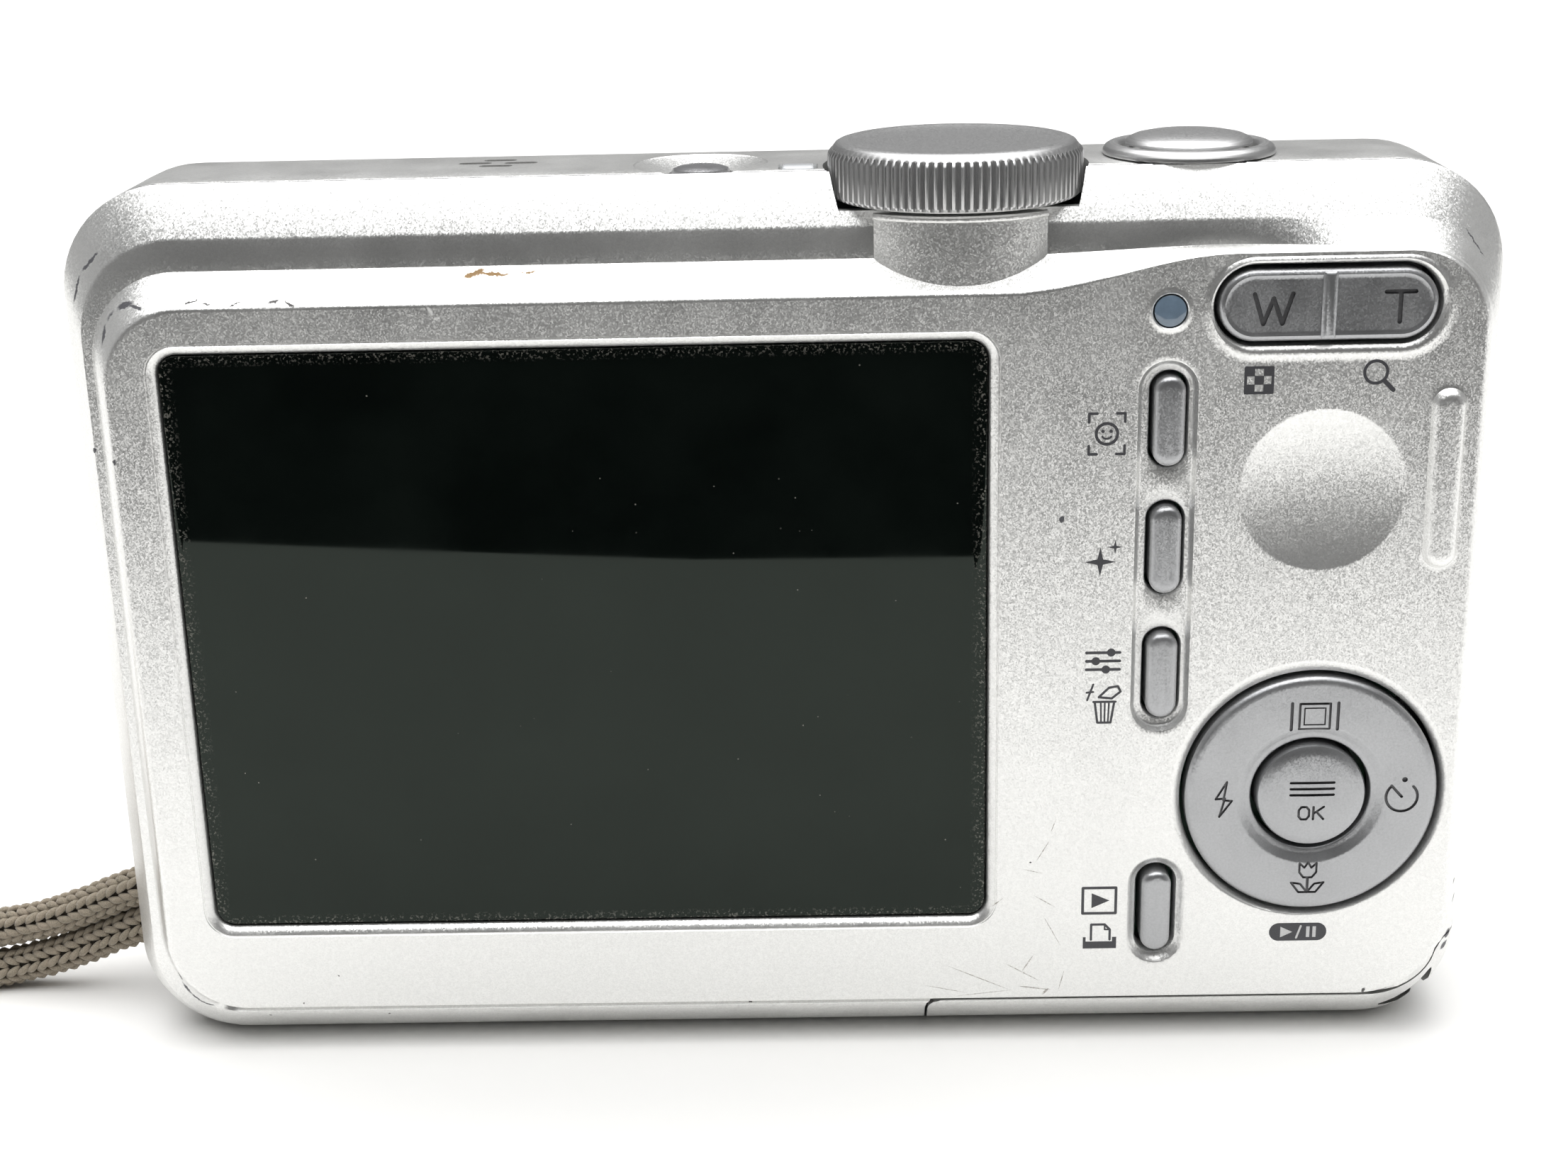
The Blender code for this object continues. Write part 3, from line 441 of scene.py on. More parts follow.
def silver_paint(name="silver_paint_look", worn=True, shade=0.84, rough=0.35):
    made, tree, shader = new_material(name)
    place = object_place(tree)
    normal, cells = flake_normal(tree, place, 0.085, 0.16)
    flakes = node(tree, "SeparateColor", i0=cells.outputs["Color"]).outputs[0]
    mottle = noise(tree, place, 6.0, 3.0).outputs[0]
    grain = noise(tree, place, 0.25, 2.0).outputs[0]
    tone = add(tree, span(tree, flakes, 0, 1, -0.05, 0.05), span(tree, mottle, 0.3, 0.7, -0.012, 0.012))
    tone = add(tree, tone, span(tree, grain, 0.3, 0.7, -0.02, 0.02))
    level = add(tree, tone, shade)
    colour = node(tree, "CombineColor", i0=level, i1=level, i2=times(tree, level, 0.984)).outputs[0]
    roughness = span(tree, mottle, 0.3, 0.7, rough - 0.03, rough + 0.04)
    shader.inputs["Metallic"].default_value = 0.86
    if worn:
        ragged = noise(tree, place, 0.35, 3.0, 0.65).outputs["Color"]
        shift = node(tree, "VectorMath", "SUBTRACT", i0=ragged, i1=(0.5, 0.5, 0.5)).outputs[0]
        shift = node(tree, "VectorMath", "SCALE", i0=shift, Scale=0.38 * MM).outputs[0]
        moved = node(tree, "VectorMath", "ADD", i0=place, i1=shift).outputs[0]
        chips = mark_mask(tree, moved, CHIPS)
        specks = mark_mask(tree, moved, SPECKS)
        scratches = times(tree, mark_mask(tree, place, SCRATCHES), span(tree, grain, 0.35, 0.6, 0.15, 0.8))
        bright = times(tree, mark_mask(tree, place, BRIGHT_SCRATCHES), 0.7)
        scuff = mark_mask(tree, moved, SCUFF)
        colour = mixed(tree, chips, colour, (0.10, 0.10, 0.11))
        colour = mixed(tree, specks, colour, (0.09, 0.085, 0.085))
        colour = mixed(tree, scratches, colour, (0.22, 0.19, 0.16))
        colour = mixed(tree, bright, colour, (0.95, 0.95, 0.93))
        colour = mixed(tree, scuff, colour, (0.36, 0.22, 0.09))
        worn_away = larger(tree, chips, larger(tree, specks, scuff))
        worn_away = larger(tree, worn_away, times(tree, bright, 0.8))
        link(tree, span(tree, worn_away, 0, 1, 0.86, 0.1), shader.inputs["Metallic"])
        roughness = add(tree, roughness, span(tree, worn_away, 0, 1, 0.0, 0.2))
    link(tree, colour, shader.inputs["Base Color"])
    link(tree, roughness, shader.inputs["Roughness"])
    link(tree, normal, shader.inputs["Normal"])
    return made


def raise_normal(tree, shader, height, strength, distance_mm):
    raised = node(tree, "Bump", Height=height, Strength=strength, Distance=distance_mm * MM)
    link(tree, raised.outputs[0], shader.inputs["Normal"])


def grained(name, colour, metallic, rough, size=0.2, vary=0.12, bump=0.0, flake=0.0, coat=0.0, spread=0.06):
    """A solid colour with grain, drifting roughness and a fine bump or flakes."""
    made, tree, shader = new_material(name)
    place = object_place(tree)
    fine = noise(tree, place, size, 3.0).outputs[0]
    drift = noise(tree, place, 4.0, 2.0).outputs[0]
    factor = add(tree, span(tree, fine, 0.3, 0.7, 0.0, 0.7), span(tree, drift, 0.3, 0.7, 0.0, 0.3), True)
    dark = tuple(c * (1 - vary) for c in colour)
    light = tuple(min(1.0, c * (1 + vary)) for c in colour)
    link(tree, mixed(tree, factor, dark, light), shader.inputs["Base Color"])
    roughness = span(tree, drift, 0.3, 0.7, max(rough - spread, 0.01), rough + spread)
    link(tree, roughness, shader.inputs["Roughness"])
    shader.inputs["Metallic"].default_value = metallic
    shader.inputs["Coat Weight"].default_value = coat
    if flake:
        link(tree, flake_normal(tree, place, 0.09, flake)[0], shader.inputs["Normal"])
    elif bump:
        raise_normal(tree, shader, fine, bump, 0.02)
    return made


def screen_glass():
    """Dark glass with a greasy film, a few specks of dust and more grit along its rim."""
    made, tree, shader = new_material("screen_glass_look")
    place = object_place(tree)
    dust = node(tree, "TexVoronoi", Vector=place, Scale=1 / (1.1 * MM))
    pick = node(tree, "SeparateColor", i0=dust.outputs["Color"]).outputs[0]
    spot = math_node(tree, "LESS_THAN", dust.outputs["Distance"], 0.05)
    kept = math_node(tree, "GREATER_THAN", pick, 0.72)
    film = noise(tree, place, 9.0, 4.0, 0.6).outputs[0]
    edge = noise(tree, place, 0.3, 3.0).outputs[0]
    specks = times(tree, times(tree, spot, kept), span(tree, edge, 0.4, 0.6, 0.1, 0.8))
    smear = span(tree, film, 0.35, 0.7, 0.0, 1.0)
    base = mixed(tree, smear, (0.0028, 0.0042, 0.0036), (0.0055, 0.0078, 0.0066))
    middle = node(tree, "VectorMath", "SUBTRACT", i0=place, i1=at(-13.9, 0, 31.1)).outputs[0]
    x, _, z = node(tree, "SeparateXYZ", i0=middle).outputs
    reach = [math_node(tree, "DIVIDE", math_node(tree, "ABSOLUTE", offset), half * MM)
             for offset, half in ((x, 27.7), (z, 21.0))]
    rim = span(tree, larger(tree, *reach), 0.962, 0.992, 0.0, 1.0)
    grit = span(tree, noise(tree, place, 0.16, 2.0).outputs[0], 0.56, 0.66, 0.0, 0.55)
    specks = larger(tree, specks, times(tree, rim, grit))
    link(tree, mixed(tree, specks, base, (0.3, 0.29, 0.26)), shader.inputs["Base Color"])
    roughness = add(tree, span(tree, film, 0.3, 0.7, 0.015, 0.04), times(tree, specks, 0.5))
    link(tree, roughness, shader.inputs["Roughness"])
    shader.inputs["Specular IOR Level"].default_value = 0.32
    shader.inputs["Specular Tint"].default_value = (0.86, 1.0, 0.88, 1)
    return made


def lens_coating(name, colour):
    made, tree, shader = new_material(name)
    film = noise(tree, object_place(tree), 2.5, 3.0).outputs[0]
    facing = node(tree, "LayerWeight", Blend=0.35).outputs["Facing"]
    tint = mixed(tree, facing, colour, (0.01, 0.02, 0.05))
    tint = mixed(tree, span(tree, film, 0.35, 0.7, 0.0, 0.25), tint, (0.03, 0.02, 0.04))
    link(tree, tint, shader.inputs["Base Color"])
    link(tree, span(tree, film, 0.3, 0.7, 0.01, 0.05), shader.inputs["Roughness"])
    shader.inputs["Coat Weight"].default_value = 1.0
    shader.inputs["Coat Roughness"].default_value = 0.02
    return made


def turned_metal(name, colour, rough, centre, axis="Z", pitch=0.12, depth=0.02):
    """Metal with fine circular tool marks about an axis through centre."""
    made, tree, shader = new_material(name)
    place = object_place(tree)
    moved = node(tree, "VectorMath", "SUBTRACT", i0=place, i1=at(*centre)).outputs[0]
    x, y, z = node(tree, "SeparateXYZ", i0=moved).outputs
    across = math_node(tree, "ABSOLUTE", y if axis == "Z" else z)
    square = add(tree, math_node(tree, "POWER", x, 2.0), math_node(tree, "POWER", across, 2.0))
    radius = math_node(tree, "SQRT", square)
    rings = tree.nodes.new("ShaderNodeTexNoise")
    rings.noise_dimensions = "1D"
    link(tree, math_node(tree, "DIVIDE", radius, pitch * MM), rings.inputs["W"])
    rings.inputs["Scale"].default_value = 1.0
    fine = noise(tree, place, 0.15, 2.0).outputs[0]
    dark, light = tuple(c * 0.86 for c in colour), tuple(min(1, c * 1.14) for c in colour)
    link(tree, mixed(tree, rings.outputs[0], dark, light), shader.inputs["Base Color"])
    link(tree, span(tree, fine, 0.3, 0.7, rough - 0.04, rough + 0.05), shader.inputs["Roughness"])
    shader.inputs["Metallic"].default_value = 0.92
    raise_normal(tree, shader, rings.outputs[0], 0.25, depth)
    return made


def knit_yarn():
    made, tree, shader = new_material("strap_yarn")
    place = object_place(tree)
    fibre = noise(tree, place, 0.09, 4.0, 0.7).outputs[0]
    tuft = noise(tree, place, 0.9, 2.0).outputs[0]
    drift = noise(tree, place, 9.0, 2.0).outputs[0]
    base = mixed(tree, span(tree, fibre, 0.35, 0.68, 0, 1), (0.16, 0.134, 0.098), (0.42, 0.365, 0.28))
    base = mixed(tree, span(tree, tuft, 0.35, 0.7, 0, 0.4), base, (0.37, 0.3, 0.235))
    base = mixed(tree, span(tree, drift, 0.35, 0.7, 0, 0.35), base, (0.29, 0.26, 0.2))
    link(tree, base, shader.inputs["Base Color"])
    shader.inputs["Roughness"].default_value = 0.85
    shader.inputs["Specular IOR Level"].default_value = 0.3
    shader.inputs["Sheen Weight"].default_value = 0.25
    raise_normal(tree, shader, fibre, 0.6, 0.05)
    return made


def make_looks():
    return {
        "silver": silver_paint(),
        "silver_plain": silver_paint("silver_paint_front", False),
        "chrome": grained("chrome_look", (0.82, 0.82, 0.83), 1.0, 0.14, 0.4, 0.04, spread=0.04),
        "key": grained("key_satin", (0.43, 0.435, 0.445), 0.8, 0.34, 0.15, 0.08, flake=0.1),
        "satin": turned_metal("shutter_satin", (0.62, 0.62, 0.62), 0.36, (*SHUTTER, 0)),
        "power": grained("power_satin", (0.42, 0.42, 0.43), 0.85, 0.33, 0.15, 0.1, flake=0.08),
        # painted light: the boss takes the body's silver paint made lighter (0.88 against 0.84), standing in
        # for the light it catches
        "boss": silver_paint("boss_paint_painted_light", False, 0.88, 0.36),
        "dial": turned_metal("dial_top", (0.6, 0.6, 0.6), 0.36, (*DIAL, 0), pitch=0.1),
        "barrel": turned_metal("barrel_look", (0.6, 0.6, 0.62), 0.26, (LENS_X, 0, LENS_Z), "Y", 0.2),
        "glass": screen_glass(),
        "black": grained("black_plastic_look", (0.018, 0.018, 0.02), 0.0, 0.42, 0.12, 0.25, bump=0.25),
        "ink": grained("printed_ink", (0.055, 0.055, 0.062), 0.0, 0.42, 0.1, 0.2, bump=0.1),
        # painted shade: a dark grey on the cut faces of the engraved marks, standing in for the shade inside
        # the grooves
        "groove_painted_shade": grained("groove_painted_shade", (0.13, 0.13, 0.135), 0.5, 0.45, 0.1, 0.2, bump=0.1),
        "pale_ink": grained("pale_ink", (0.62, 0.62, 0.62), 0.2, 0.4, 0.1, 0.08, bump=0.1),
        "lamp": grained("status_lens", (0.17, 0.235, 0.31), 0.0, 0.16, 0.5, 0.12, coat=1.0),
        "power_lamp": grained("power_lens", (0.82, 0.84, 0.86), 0.0, 0.25, 0.3, 0.05, coat=0.6),
        "flash": grained("flash_lens_look", (0.72, 0.74, 0.76), 0.1, 0.14, 0.6, 0.08, bump=0.4, coat=1.0),
        "amber": grained("focus_lamp_look", (0.5, 0.13, 0.02), 0.0, 0.15, 0.4, 0.15, coat=1.0),
        "lens": lens_coating("lens_coating", (0.05, 0.015, 0.07)),
        "sensor": grained("sensor_look", (0.02, 0.06, 0.05), 0.3, 0.15, 0.1, 0.3, coat=0.8),
        "steel": grained("steel_look", (0.42, 0.42, 0.43), 1.0, 0.3, 0.12, 0.12, bump=0.2),
        "sheet": grained("sheet_metal_look", (0.55, 0.55, 0.54), 1.0, 0.34, 0.3, 0.1, bump=0.15),
        "board": grained("circuit_board_look", (0.02, 0.11, 0.05), 0.0, 0.45, 0.5, 0.3, bump=0.4),
        "wrap": grained("battery_wrap_look", (0.05, 0.05, 0.075), 0.0, 0.38, 0.2, 0.15, bump=0.2),
        "card": grained("card_look", (0.025, 0.045, 0.12), 0.0, 0.4, 0.2, 0.15, bump=0.2),
        "panel": grained("panel_look", (0.02, 0.025, 0.025), 0.0, 0.25, 0.2, 0.15, coat=0.5),
        "yarn": knit_yarn(),
        # painted shade: the near-black core shows through the gaps between the stitches
        "yarn_core_shade": grained("strap_core_painted_shade", (0.055, 0.045, 0.032), 0.0, 0.9, 0.1, 0.3, bump=0.5),
    }


CARRIED = {
    "screw_base_left": "steel", "screw_base_right": "steel", "screw_left": "steel", "screw_right": "steel",
    "lcd_panel": "panel", "lcd_backlight": "sheet", "chassis_plate": "sheet", "main_board": "board",
    "key_board": "board", "top_board": "board", "speaker": "black", "microphone": "black",
    "flash_capacitor": "black", "zoom_motor": "steel", "usb_port": "sheet", "battery_box": "black",
    "battery_pack": "wrap", "card_slot": "sheet", "memory_card": "card", "door_hinge": "sheet",
    "lens_base": "black", "rear_lens": "lens", "image_sensor": "sensor", "barrier_blade_upper": "barrel",
    "barrier_blade_lower": "barrel", "flash_reflector": "chrome", "flash_tube": "flash", "dial_base": "black",
    "nav_gimbal": "black", "tripod_socket": "steel", "strap_bar": "steel", "strap_ferrule": "steel",
}


def dress_carried():
    for name, look in CARRIED.items():
        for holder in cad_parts[name].material_slots:
            holder.material = LOOKS[look]


# ------------------------------------------------------------------ strap

STRAP_ROUTE = [
    (-48.5, 10.8, 5.85), (-51.5, 10.8, 4.85), (-57.0, 10.8, 2.75), (-62.5, 10.7, 1.5),
    (-70.0, 9.0, 1.45), (-80.0, 5.5, 1.45), (-90.0, 3.2, 1.45), (-100.0, 2.4, 1.45),
    (-110.0, 2.3, 1.45), (-120.0, 3.0, 1.45), (-128.0, 5.6, 1.45), (-132.6, 10.5, 1.45),
    (-133.2, 16.5, 1.45), (-130.0, 22.0, 1.45), (-122.5, 25.0, 1.45), (-112.0, 25.8, 1.45),
    (-100.0, 26.2, 1.45), (-90.0, 26.4, 1.45), (-82.0, 25.6, 1.45), (-78.4, 22.2, 1.45),
    (-80.5, 18.6, 1.45), (-87.0, 17.2, 1.45), (-96.0, 18.0, 1.45), (-106.0, 19.0, 1.45),
    (-116.0, 18.6, 1.45), (-122.4, 16.4, 1.45), (-123.4, 12.6, 1.45), (-119.0, 9.8, 1.45),
    (-110.0, 9.2, 1.45), (-100.0, 9.0, 1.45), (-88.0, 9.6, 1.45), (-77.0, 11.6, 1.5),
    (-69.0, 12.4, 2.6), (-62.5, 11.2, 4.6), (-57.0, 10.8, 5.95), (-51.5, 10.8, 8.0),
    (-48.5, 10.8, 9.0),
]
STITCH = 0.87
COLUMNS = 5
CORE_SIDES = 12


def smooth_route(route, per_span=24):
    """A Catmull-Rom curve through the route's points."""
    p = np.array(route, float)
    p = np.vstack([2 * p[0] - p[1], p, 2 * p[-1] - p[-2]])
    t = np.linspace(0, 1, per_span, endpoint=False)[:, None]
    spans = []
    for a, b, c, d in zip(p, p[1:], p[2:], p[3:]):
        bend, twist = 2 * a - 5 * b + 4 * c - d, 3 * b - a - 3 * c + d
        spans.append(0.5 * (2 * b + (c - a) * t + bend * t ** 2 + twist * t ** 3))
    return np.vstack(spans + [p[-2:-1]])


def cord_frames(line):
    """Arc length, and two crossways directions that don't twist, at each point of the line."""
    steps = np.linalg.norm(np.diff(line, axis=0), axis=1)
    length = np.concatenate([[0], np.cumsum(steps)])
    along = np.gradient(line, length, axis=0)
    along /= np.linalg.norm(along, axis=1)[:, None]
    up = np.array([0.0, 0.0, 1.0])
    ups = []
    for direction in along:
        up = up - direction * (up @ direction)
        up /= np.linalg.norm(up)
        ups.append(up)
    ups = np.array(ups)
    return length, ups, np.cross(along, ups)


def make_strap():
    """A knitted cord: columns of V stitches, each leaf a small bent spindle, over a dark core that paints the
    shade between the stitches.
    """
    line = smooth_route(STRAP_ROUTE)
    length, up, side = cord_frames(line)
    total = length[-1]

    def sample(values, s):
        return np.stack([np.interp(s, length, values[:, k]) for k in range(3)], axis=-1)

    def ring(u, v, turn, flat=1.0):
        return (u[:, None, :] * (np.cos(turn) * flat)[None, :, None]
                + v[:, None, :] * np.sin(turn)[None, :, None])

    rings, sides = 6, 6
    t = np.linspace(0.03, 0.97, rings)
    turn = np.linspace(0, 2 * np.pi, sides, endpoint=False)
    rows = ring_rows(sides, rings)
    leaf = walls(rows) + [rows[0], rows[-1]]
    verts, faces = [], []
    rng = np.random.default_rng(5)
    for row in range(int(total / STITCH)):
        for column in range(COLUMNS):
            for hand in (-1, 1):
                loose = rng.normal(0, 1, 4)
                start = (row + 0.1 + 0.04 * loose[0]) * STITCH
                s = start + (t * 1.62 + (t - 0.5) ** 2 * 0.25) * STITCH
                s = np.clip(s, 0.02, total - 0.02)
                angle = 2 * np.pi * column / COLUMNS + hand * (0.04 + 0.56 * t ** 0.85 + 0.02 * loose[1])
                reach = 1.02 + 0.24 * np.sin(np.pi * t) ** 0.8 + 0.015 * loose[2]
                thick = (0.31 + 0.012 * loose[3]) * np.sin(np.pi * np.clip(t, 0.05, 0.95)) ** 0.55
                centre, u, v = (sample(values, s) for values in (line, up, side))
                out = u * np.cos(angle)[:, None] + v * np.sin(angle)[:, None]
                middle = centre + out * reach[:, None]
                tangent = np.gradient(middle, axis=0)
                tangent /= np.linalg.norm(tangent, axis=1)[:, None]
                across = np.cross(tangent, out)
                across /= np.linalg.norm(across, axis=1)[:, None]
                base = len(verts) * rings * sides
                round_ = ring(out, across, turn, 0.9) * thick[:, None, None]
                verts.append((middle[:, None, :] + round_).reshape(-1, 3))
                faces += [tuple(i + base for i in face) for face in leaf]
    points = np.vstack(verts)
    fine = np.arange(0, total, 0.6)
    centre, u, v = (sample(values, fine) for values in (line, up, side))
    core = centre[:, None, :] + ring(u, v, np.linspace(0, 2 * np.pi, CORE_SIDES, endpoint=False))
    rows = ring_rows(CORE_SIDES, len(fine), len(points))
    core_faces = walls(rows) + [rows[0], rows[-1]]
    verts = np.vstack([points, core.reshape(-1, 3)])
    strap = build("strap_knit", verts, faces + core_faces, LOOKS["yarn"], 80)
    # the core takes the painted shade material
    strap.data.materials.append(LOOKS["yarn_core_shade"])
    kinds = np.zeros(len(strap.data.polygons), int)
    kinds[len(faces):] = 1
    strap.data.polygons.foreach_set("material_index", kinds)
    settle(strap, "body", "strap_knit", "strap_cord")


# ------------------------------------------------------------------ case

CORNER_STEPS = 14


def smoothstep(a, b, x):
    t = min(1.0, max(0.0, (x - a) / (b - a)))
    return t * t * (3 - 2 * t)


def case_ring(x0, x1, z0, z1, radii, depths, rise=0.0, top_far=None):
    """Points (x, depth, z) round the case.

    The radii are top right, top left, bottom left and bottom right; the depths left, right, bottom and top.
    Over the zoom rocker the top edge climbs by rise and its depth becomes top_far.
    """
    left, right, bottom, top = depths
    far = top if top_far is None else top_far
    rtr, rtl, rbl, rbr = radii
    points = []
    corners = ((x1 - rtr, z1 + rise - rtr, 0, rtr, right, far), (x0 + rtl, z1 - rtl, 90, rtl, top, left),
               (x0 + rbl, z0 + rbl, 180, rbl, left, bottom), (x1 - rbr, z0 + rbr, 270, rbr, bottom, right))
    straight = (64, 16, 30, 16)
    for index, (cx, cz, start, r, d0, d1) in enumerate(corners):
        for i, (x, z) in enumerate(arc(cx, cz, r, start, start + 90, CORNER_STEPS)):
            points.append((x, d0 + (d1 - d0) * smoothstep(0, 1, i / CORNER_STEPS), z))
        end = points[-1]
        cx, cz, start, r, depth, _ = corners[(index + 1) % 4]
        a = math.radians(start)
        goal = (cx + r * math.cos(a), depth, cz + r * math.sin(a))
        for i in range(1, straight[index]):
            t = i / straight[index]
            x, depth, z = (p + (q - p) * t for p, q in zip(end, goal))
            if index == 0:
                depth = top + (far - top) * smoothstep(29.0, 41.0, x)
                z = z1 + rise * smoothstep(15.0, 30.0, x)
            points.append((x, depth, z))
    return points


def inset_ring(edge, r, depth):
    """The case's outline moved inwards by edge, at one depth."""
    half, radii = HALF_WIDTH - edge, (r, r + 0.3, r, r)
    return case_ring(-half, half, edge, HEIGHT - edge, radii, (depth,) * 4)


BACK_BANDS = [
    # x0, x1, z0, z1, radii, (left, right, bottom, top), rise, top_far
    (-44.9, 46.35, 3.95, 55.1, (5.0, 5.2, 4.9, 5.6), (0, 0, 0, 0), 2.48, 0),
    (-45.1, 46.5, 3.75, 55.24, (5.1, 5.3, 5.1, 5.8), (0, 0, 0, 0), 2.42, 0),
    (-45.25, 46.72, 3.5, 55.37, (5.3, 5.4, 5.3, 6.0), (0.07, 0.1, 0.1, 0.07), 2.37, 0.06),
    (-45.5, 47.0, 3.3, 55.62, (5.5, 5.6, 5.5, 6.2), (0.32, 0.4, 0.5, 0.32), 2.18, 0.2),
    (-46.35, 47.3, 3.12, 57.2, (5.8, 6.0, 5.9, 6.3), (2.12, 1.1, 0.3, 2.15), 0.64, 0.6),
    (-46.5, 47.5, 2.75, 57.42, (6.0, 6.1, 6.0, 6.4), (2.3, 1.5, 0.52, 2.3), 0.46, 0.9),
    (-47.1, 47.85, 1.2, 59.42, (6.6, 6.7, 6.5, 6.6), (2.36, 2.3, 1.9, 2.3), 0.0, 2.2),
    (-47.25, 48.05, 0.75, 59.66, (6.7, 6.8, 6.6, 6.7), (2.5, 2.7, 2.5, 2.42), 0.0, 2.36),
    (-48.3, 48.4, 0.08, 62.62, (7.0, 7.3, 7.0, 7.0), (4.0, 3.8, 3.8, 4.08), 0.0, 4.08),
    (-HALF_WIDTH, HALF_WIDTH, 0.0, HEIGHT, (7.0, 7.3, 7.0, 7.0), (4.3, 4.3, 4.3, 4.3), 0.0, None),
]
DISH_R, DISH_DEPTH = 5.6, 0.7


def back_features():
    """Loops from the outside in, each (outline, depth); the first is a flat guard. The flag says: a hole."""
    ledge = [(-0.3, 0), (0, 0), (0.05, 0.05), (0.11, 0.05), (0.16, 0.0), (0.4, 0.1), (0.62, 0.3), (0.74, 0.5)]
    window = [(rect(-42.45 + i, 14.65 - i, 9.25 + i, 52.95 - i, 2.1 - i, 10), depth) for i, depth in ledge]
    features = [(window, True)]
    rocker = [(27.7, 44.75, 50.3, 57.5, 0), (27.95, 44.5, 50.55, 57.42, 0), (28.2, 44.25, 50.8, 57.32, -0.1),
              (28.38, 44.02, 51.02, 57.18, -0.15), (28.52, 43.8, 51.28, 57.04, -0.08),
              (28.6, 43.62, 51.46, 56.93, 0.1), (28.62, 43.58, 51.5, 56.9, 0.3)]
    bed = [(rect(a, b, c, d, (d - c) / 2 - 0.004, 16), depth) for a, b, c, d, depth in rocker]
    features.append((bed, True))
    groove = [(-0.35, 0), (-0.05, 0), (0.0, 0.02), (0.07, 0.14), (0.18, 0.36), (0.27, 0.46), (0.36, 0.5)]
    features.append((slot_levels(25.8, 37.43, 4.0, 26.4, groove, 14), False))
    for z in KEYS.values():
        hole = [(-0.06, 0.5), (0.0, 0.52), (0.06, 0.6), (0.08, 0.8)]
        features.append((slot_levels(KEY_X, z, 2.72, 6.82, hole, 14), True))
    hole = [(-0.35, 0), (-0.08, 0), (0.0, 0.03), (0.2, 0.22), (0.38, 0.36), (0.52, 0.42), (0.56, 0.5),
            (0.62, 0.6)]
    features.append((slot_levels(*PLAY_KEY, 4.0, 8.2, hole, 14), True))
    ring = [(36.5, 19.55, 9.78, 0), (36.5, 19.55, 9.68, 0), (36.51, 19.53, 9.62, 0.02),
            (36.56, 19.42, 9.46, 0.12), (36.6, 19.33, 9.33, 0.26), (*PAD, 9.2, 0.4), (*PAD, 9.15, 0.55)]
    features.append(([(circle(a, b, r, 120), depth) for a, b, r, depth in ring], True))
    lamp = [(1.62, 0), (1.46, 0), (1.36, -0.05), (1.24, -0.07), (1.16, 0.0), (1.13, 0.12)]
    features.append(([(circle(*LAMP, r, 48), depth) for r, depth in lamp], True))
    dish = [(5.95, 0), (5.7, 0)]
    curve = (DISH_R ** 2 + DISH_DEPTH ** 2) / (2 * DISH_DEPTH)
    for k in range(13):
        r = DISH_R * math.cos(math.pi / 2 * k / 13)
        dish.append((r, math.sqrt(curve ** 2 - r ** 2) - (curve - DISH_DEPTH) + 0.004))
    features.append(([(circle(36.35, 41.5, r, 84), depth) for r, depth in dish], False))
    rib = [(-0.38, 0), (-0.15, 0), (-0.02, -0.03), (0.06, -0.16), (0.18, -0.36), (0.36, -0.52), (0.62, -0.59),
           (0.95, -0.6)]
    features.append((slot_levels(44.45, 42.15, 2.3, 12.5, rib, 14), False))
    return features


def dial_pocket():
    return pit("pocket", DIAL_POCKET_R, 60.5, 70, (*DIAL, 0), "Z", 96)


def make_back_cover():
    """The back's outline and features as one flat net, whose points are then moved to their depths."""
    rings = [case_ring(*band) for band in BACK_BANDS]
    count = len(rings[0])
    flat, edges, depths, holes = [], [], [], []

    def put(points, depth):
        start = len(flat)
        flat.extend(Vector(p) for p in points)
        depths.extend([depth] * len(points))
        edges.extend((start + i, start + (i + 1) % len(points)) for i in range(len(points)))
        return set(range(start, start + len(points)))

    put([(x, z) for x, _, z in rings[0]], 0.0)
    for loops, hole in back_features():
        ids = [put(outline, depth) for outline, depth in loops]
        if hole:
            holes.append(ids[-1])
    _, _, tris, origin, _, _ = delaunay_2d_cdt(flat, edges, [], 1, 1e-6)
    source = [ids[0] for ids in origin]
    tris = [tuple(source[i] for i in t) for t in tris]
    faces = [t for t in tris if not any(all(i in hole for i in t) for hole in holes)]
    verts = [(p.x, depth, p.y) for p, depth in zip(flat, depths)]
    rows = [range(count)] + ring_rows(count, len(rings) - 1, len(verts))
    verts += [p for ring in rings[1:] for p in ring]
    inner = [(x, min(max(1.6, depth + 1.1), 4.32), z) for x, depth, z in verts]
    cover = build("back_shell", verts + inner, thickened(faces + walls(rows), len(verts)), LOOKS["silver"])
    carve(cover, [dial_pocket(), door_space()])
    settle(cover, "body", "silver_paint", "back_cover")


def make_dial_boss():
    levels = [(0.0, 54.6), (0.0, 59.95), (-0.1, 60.0), (-0.14, 60.1), (-0.12, 60.24), (0.0, 60.36)]
    rows = []
    for edge, z in levels:
        r = BOSS_R - edge
        turns = [math.radians(a) for a in np.linspace(-BOSS_TURN, BOSS_TURN, 40)]
        front = [(BOSS_X + r * math.sin(a), BOSS_DEPTH - r * math.cos(a), z) for a in turns]
        rows.append(front + [(front[-1][0], 4.3, z), (front[0][0], 4.3, z)])
    # the boss's paint is a lighter copy of the body's, which paints light on it
    settle(lofted("dial_boss", rows, LOOKS["boss"]), "body", "silver_paint")


DOOR_TOP = 3.2
FOCUS_LAMP = (-0.8, 0, 55.2)


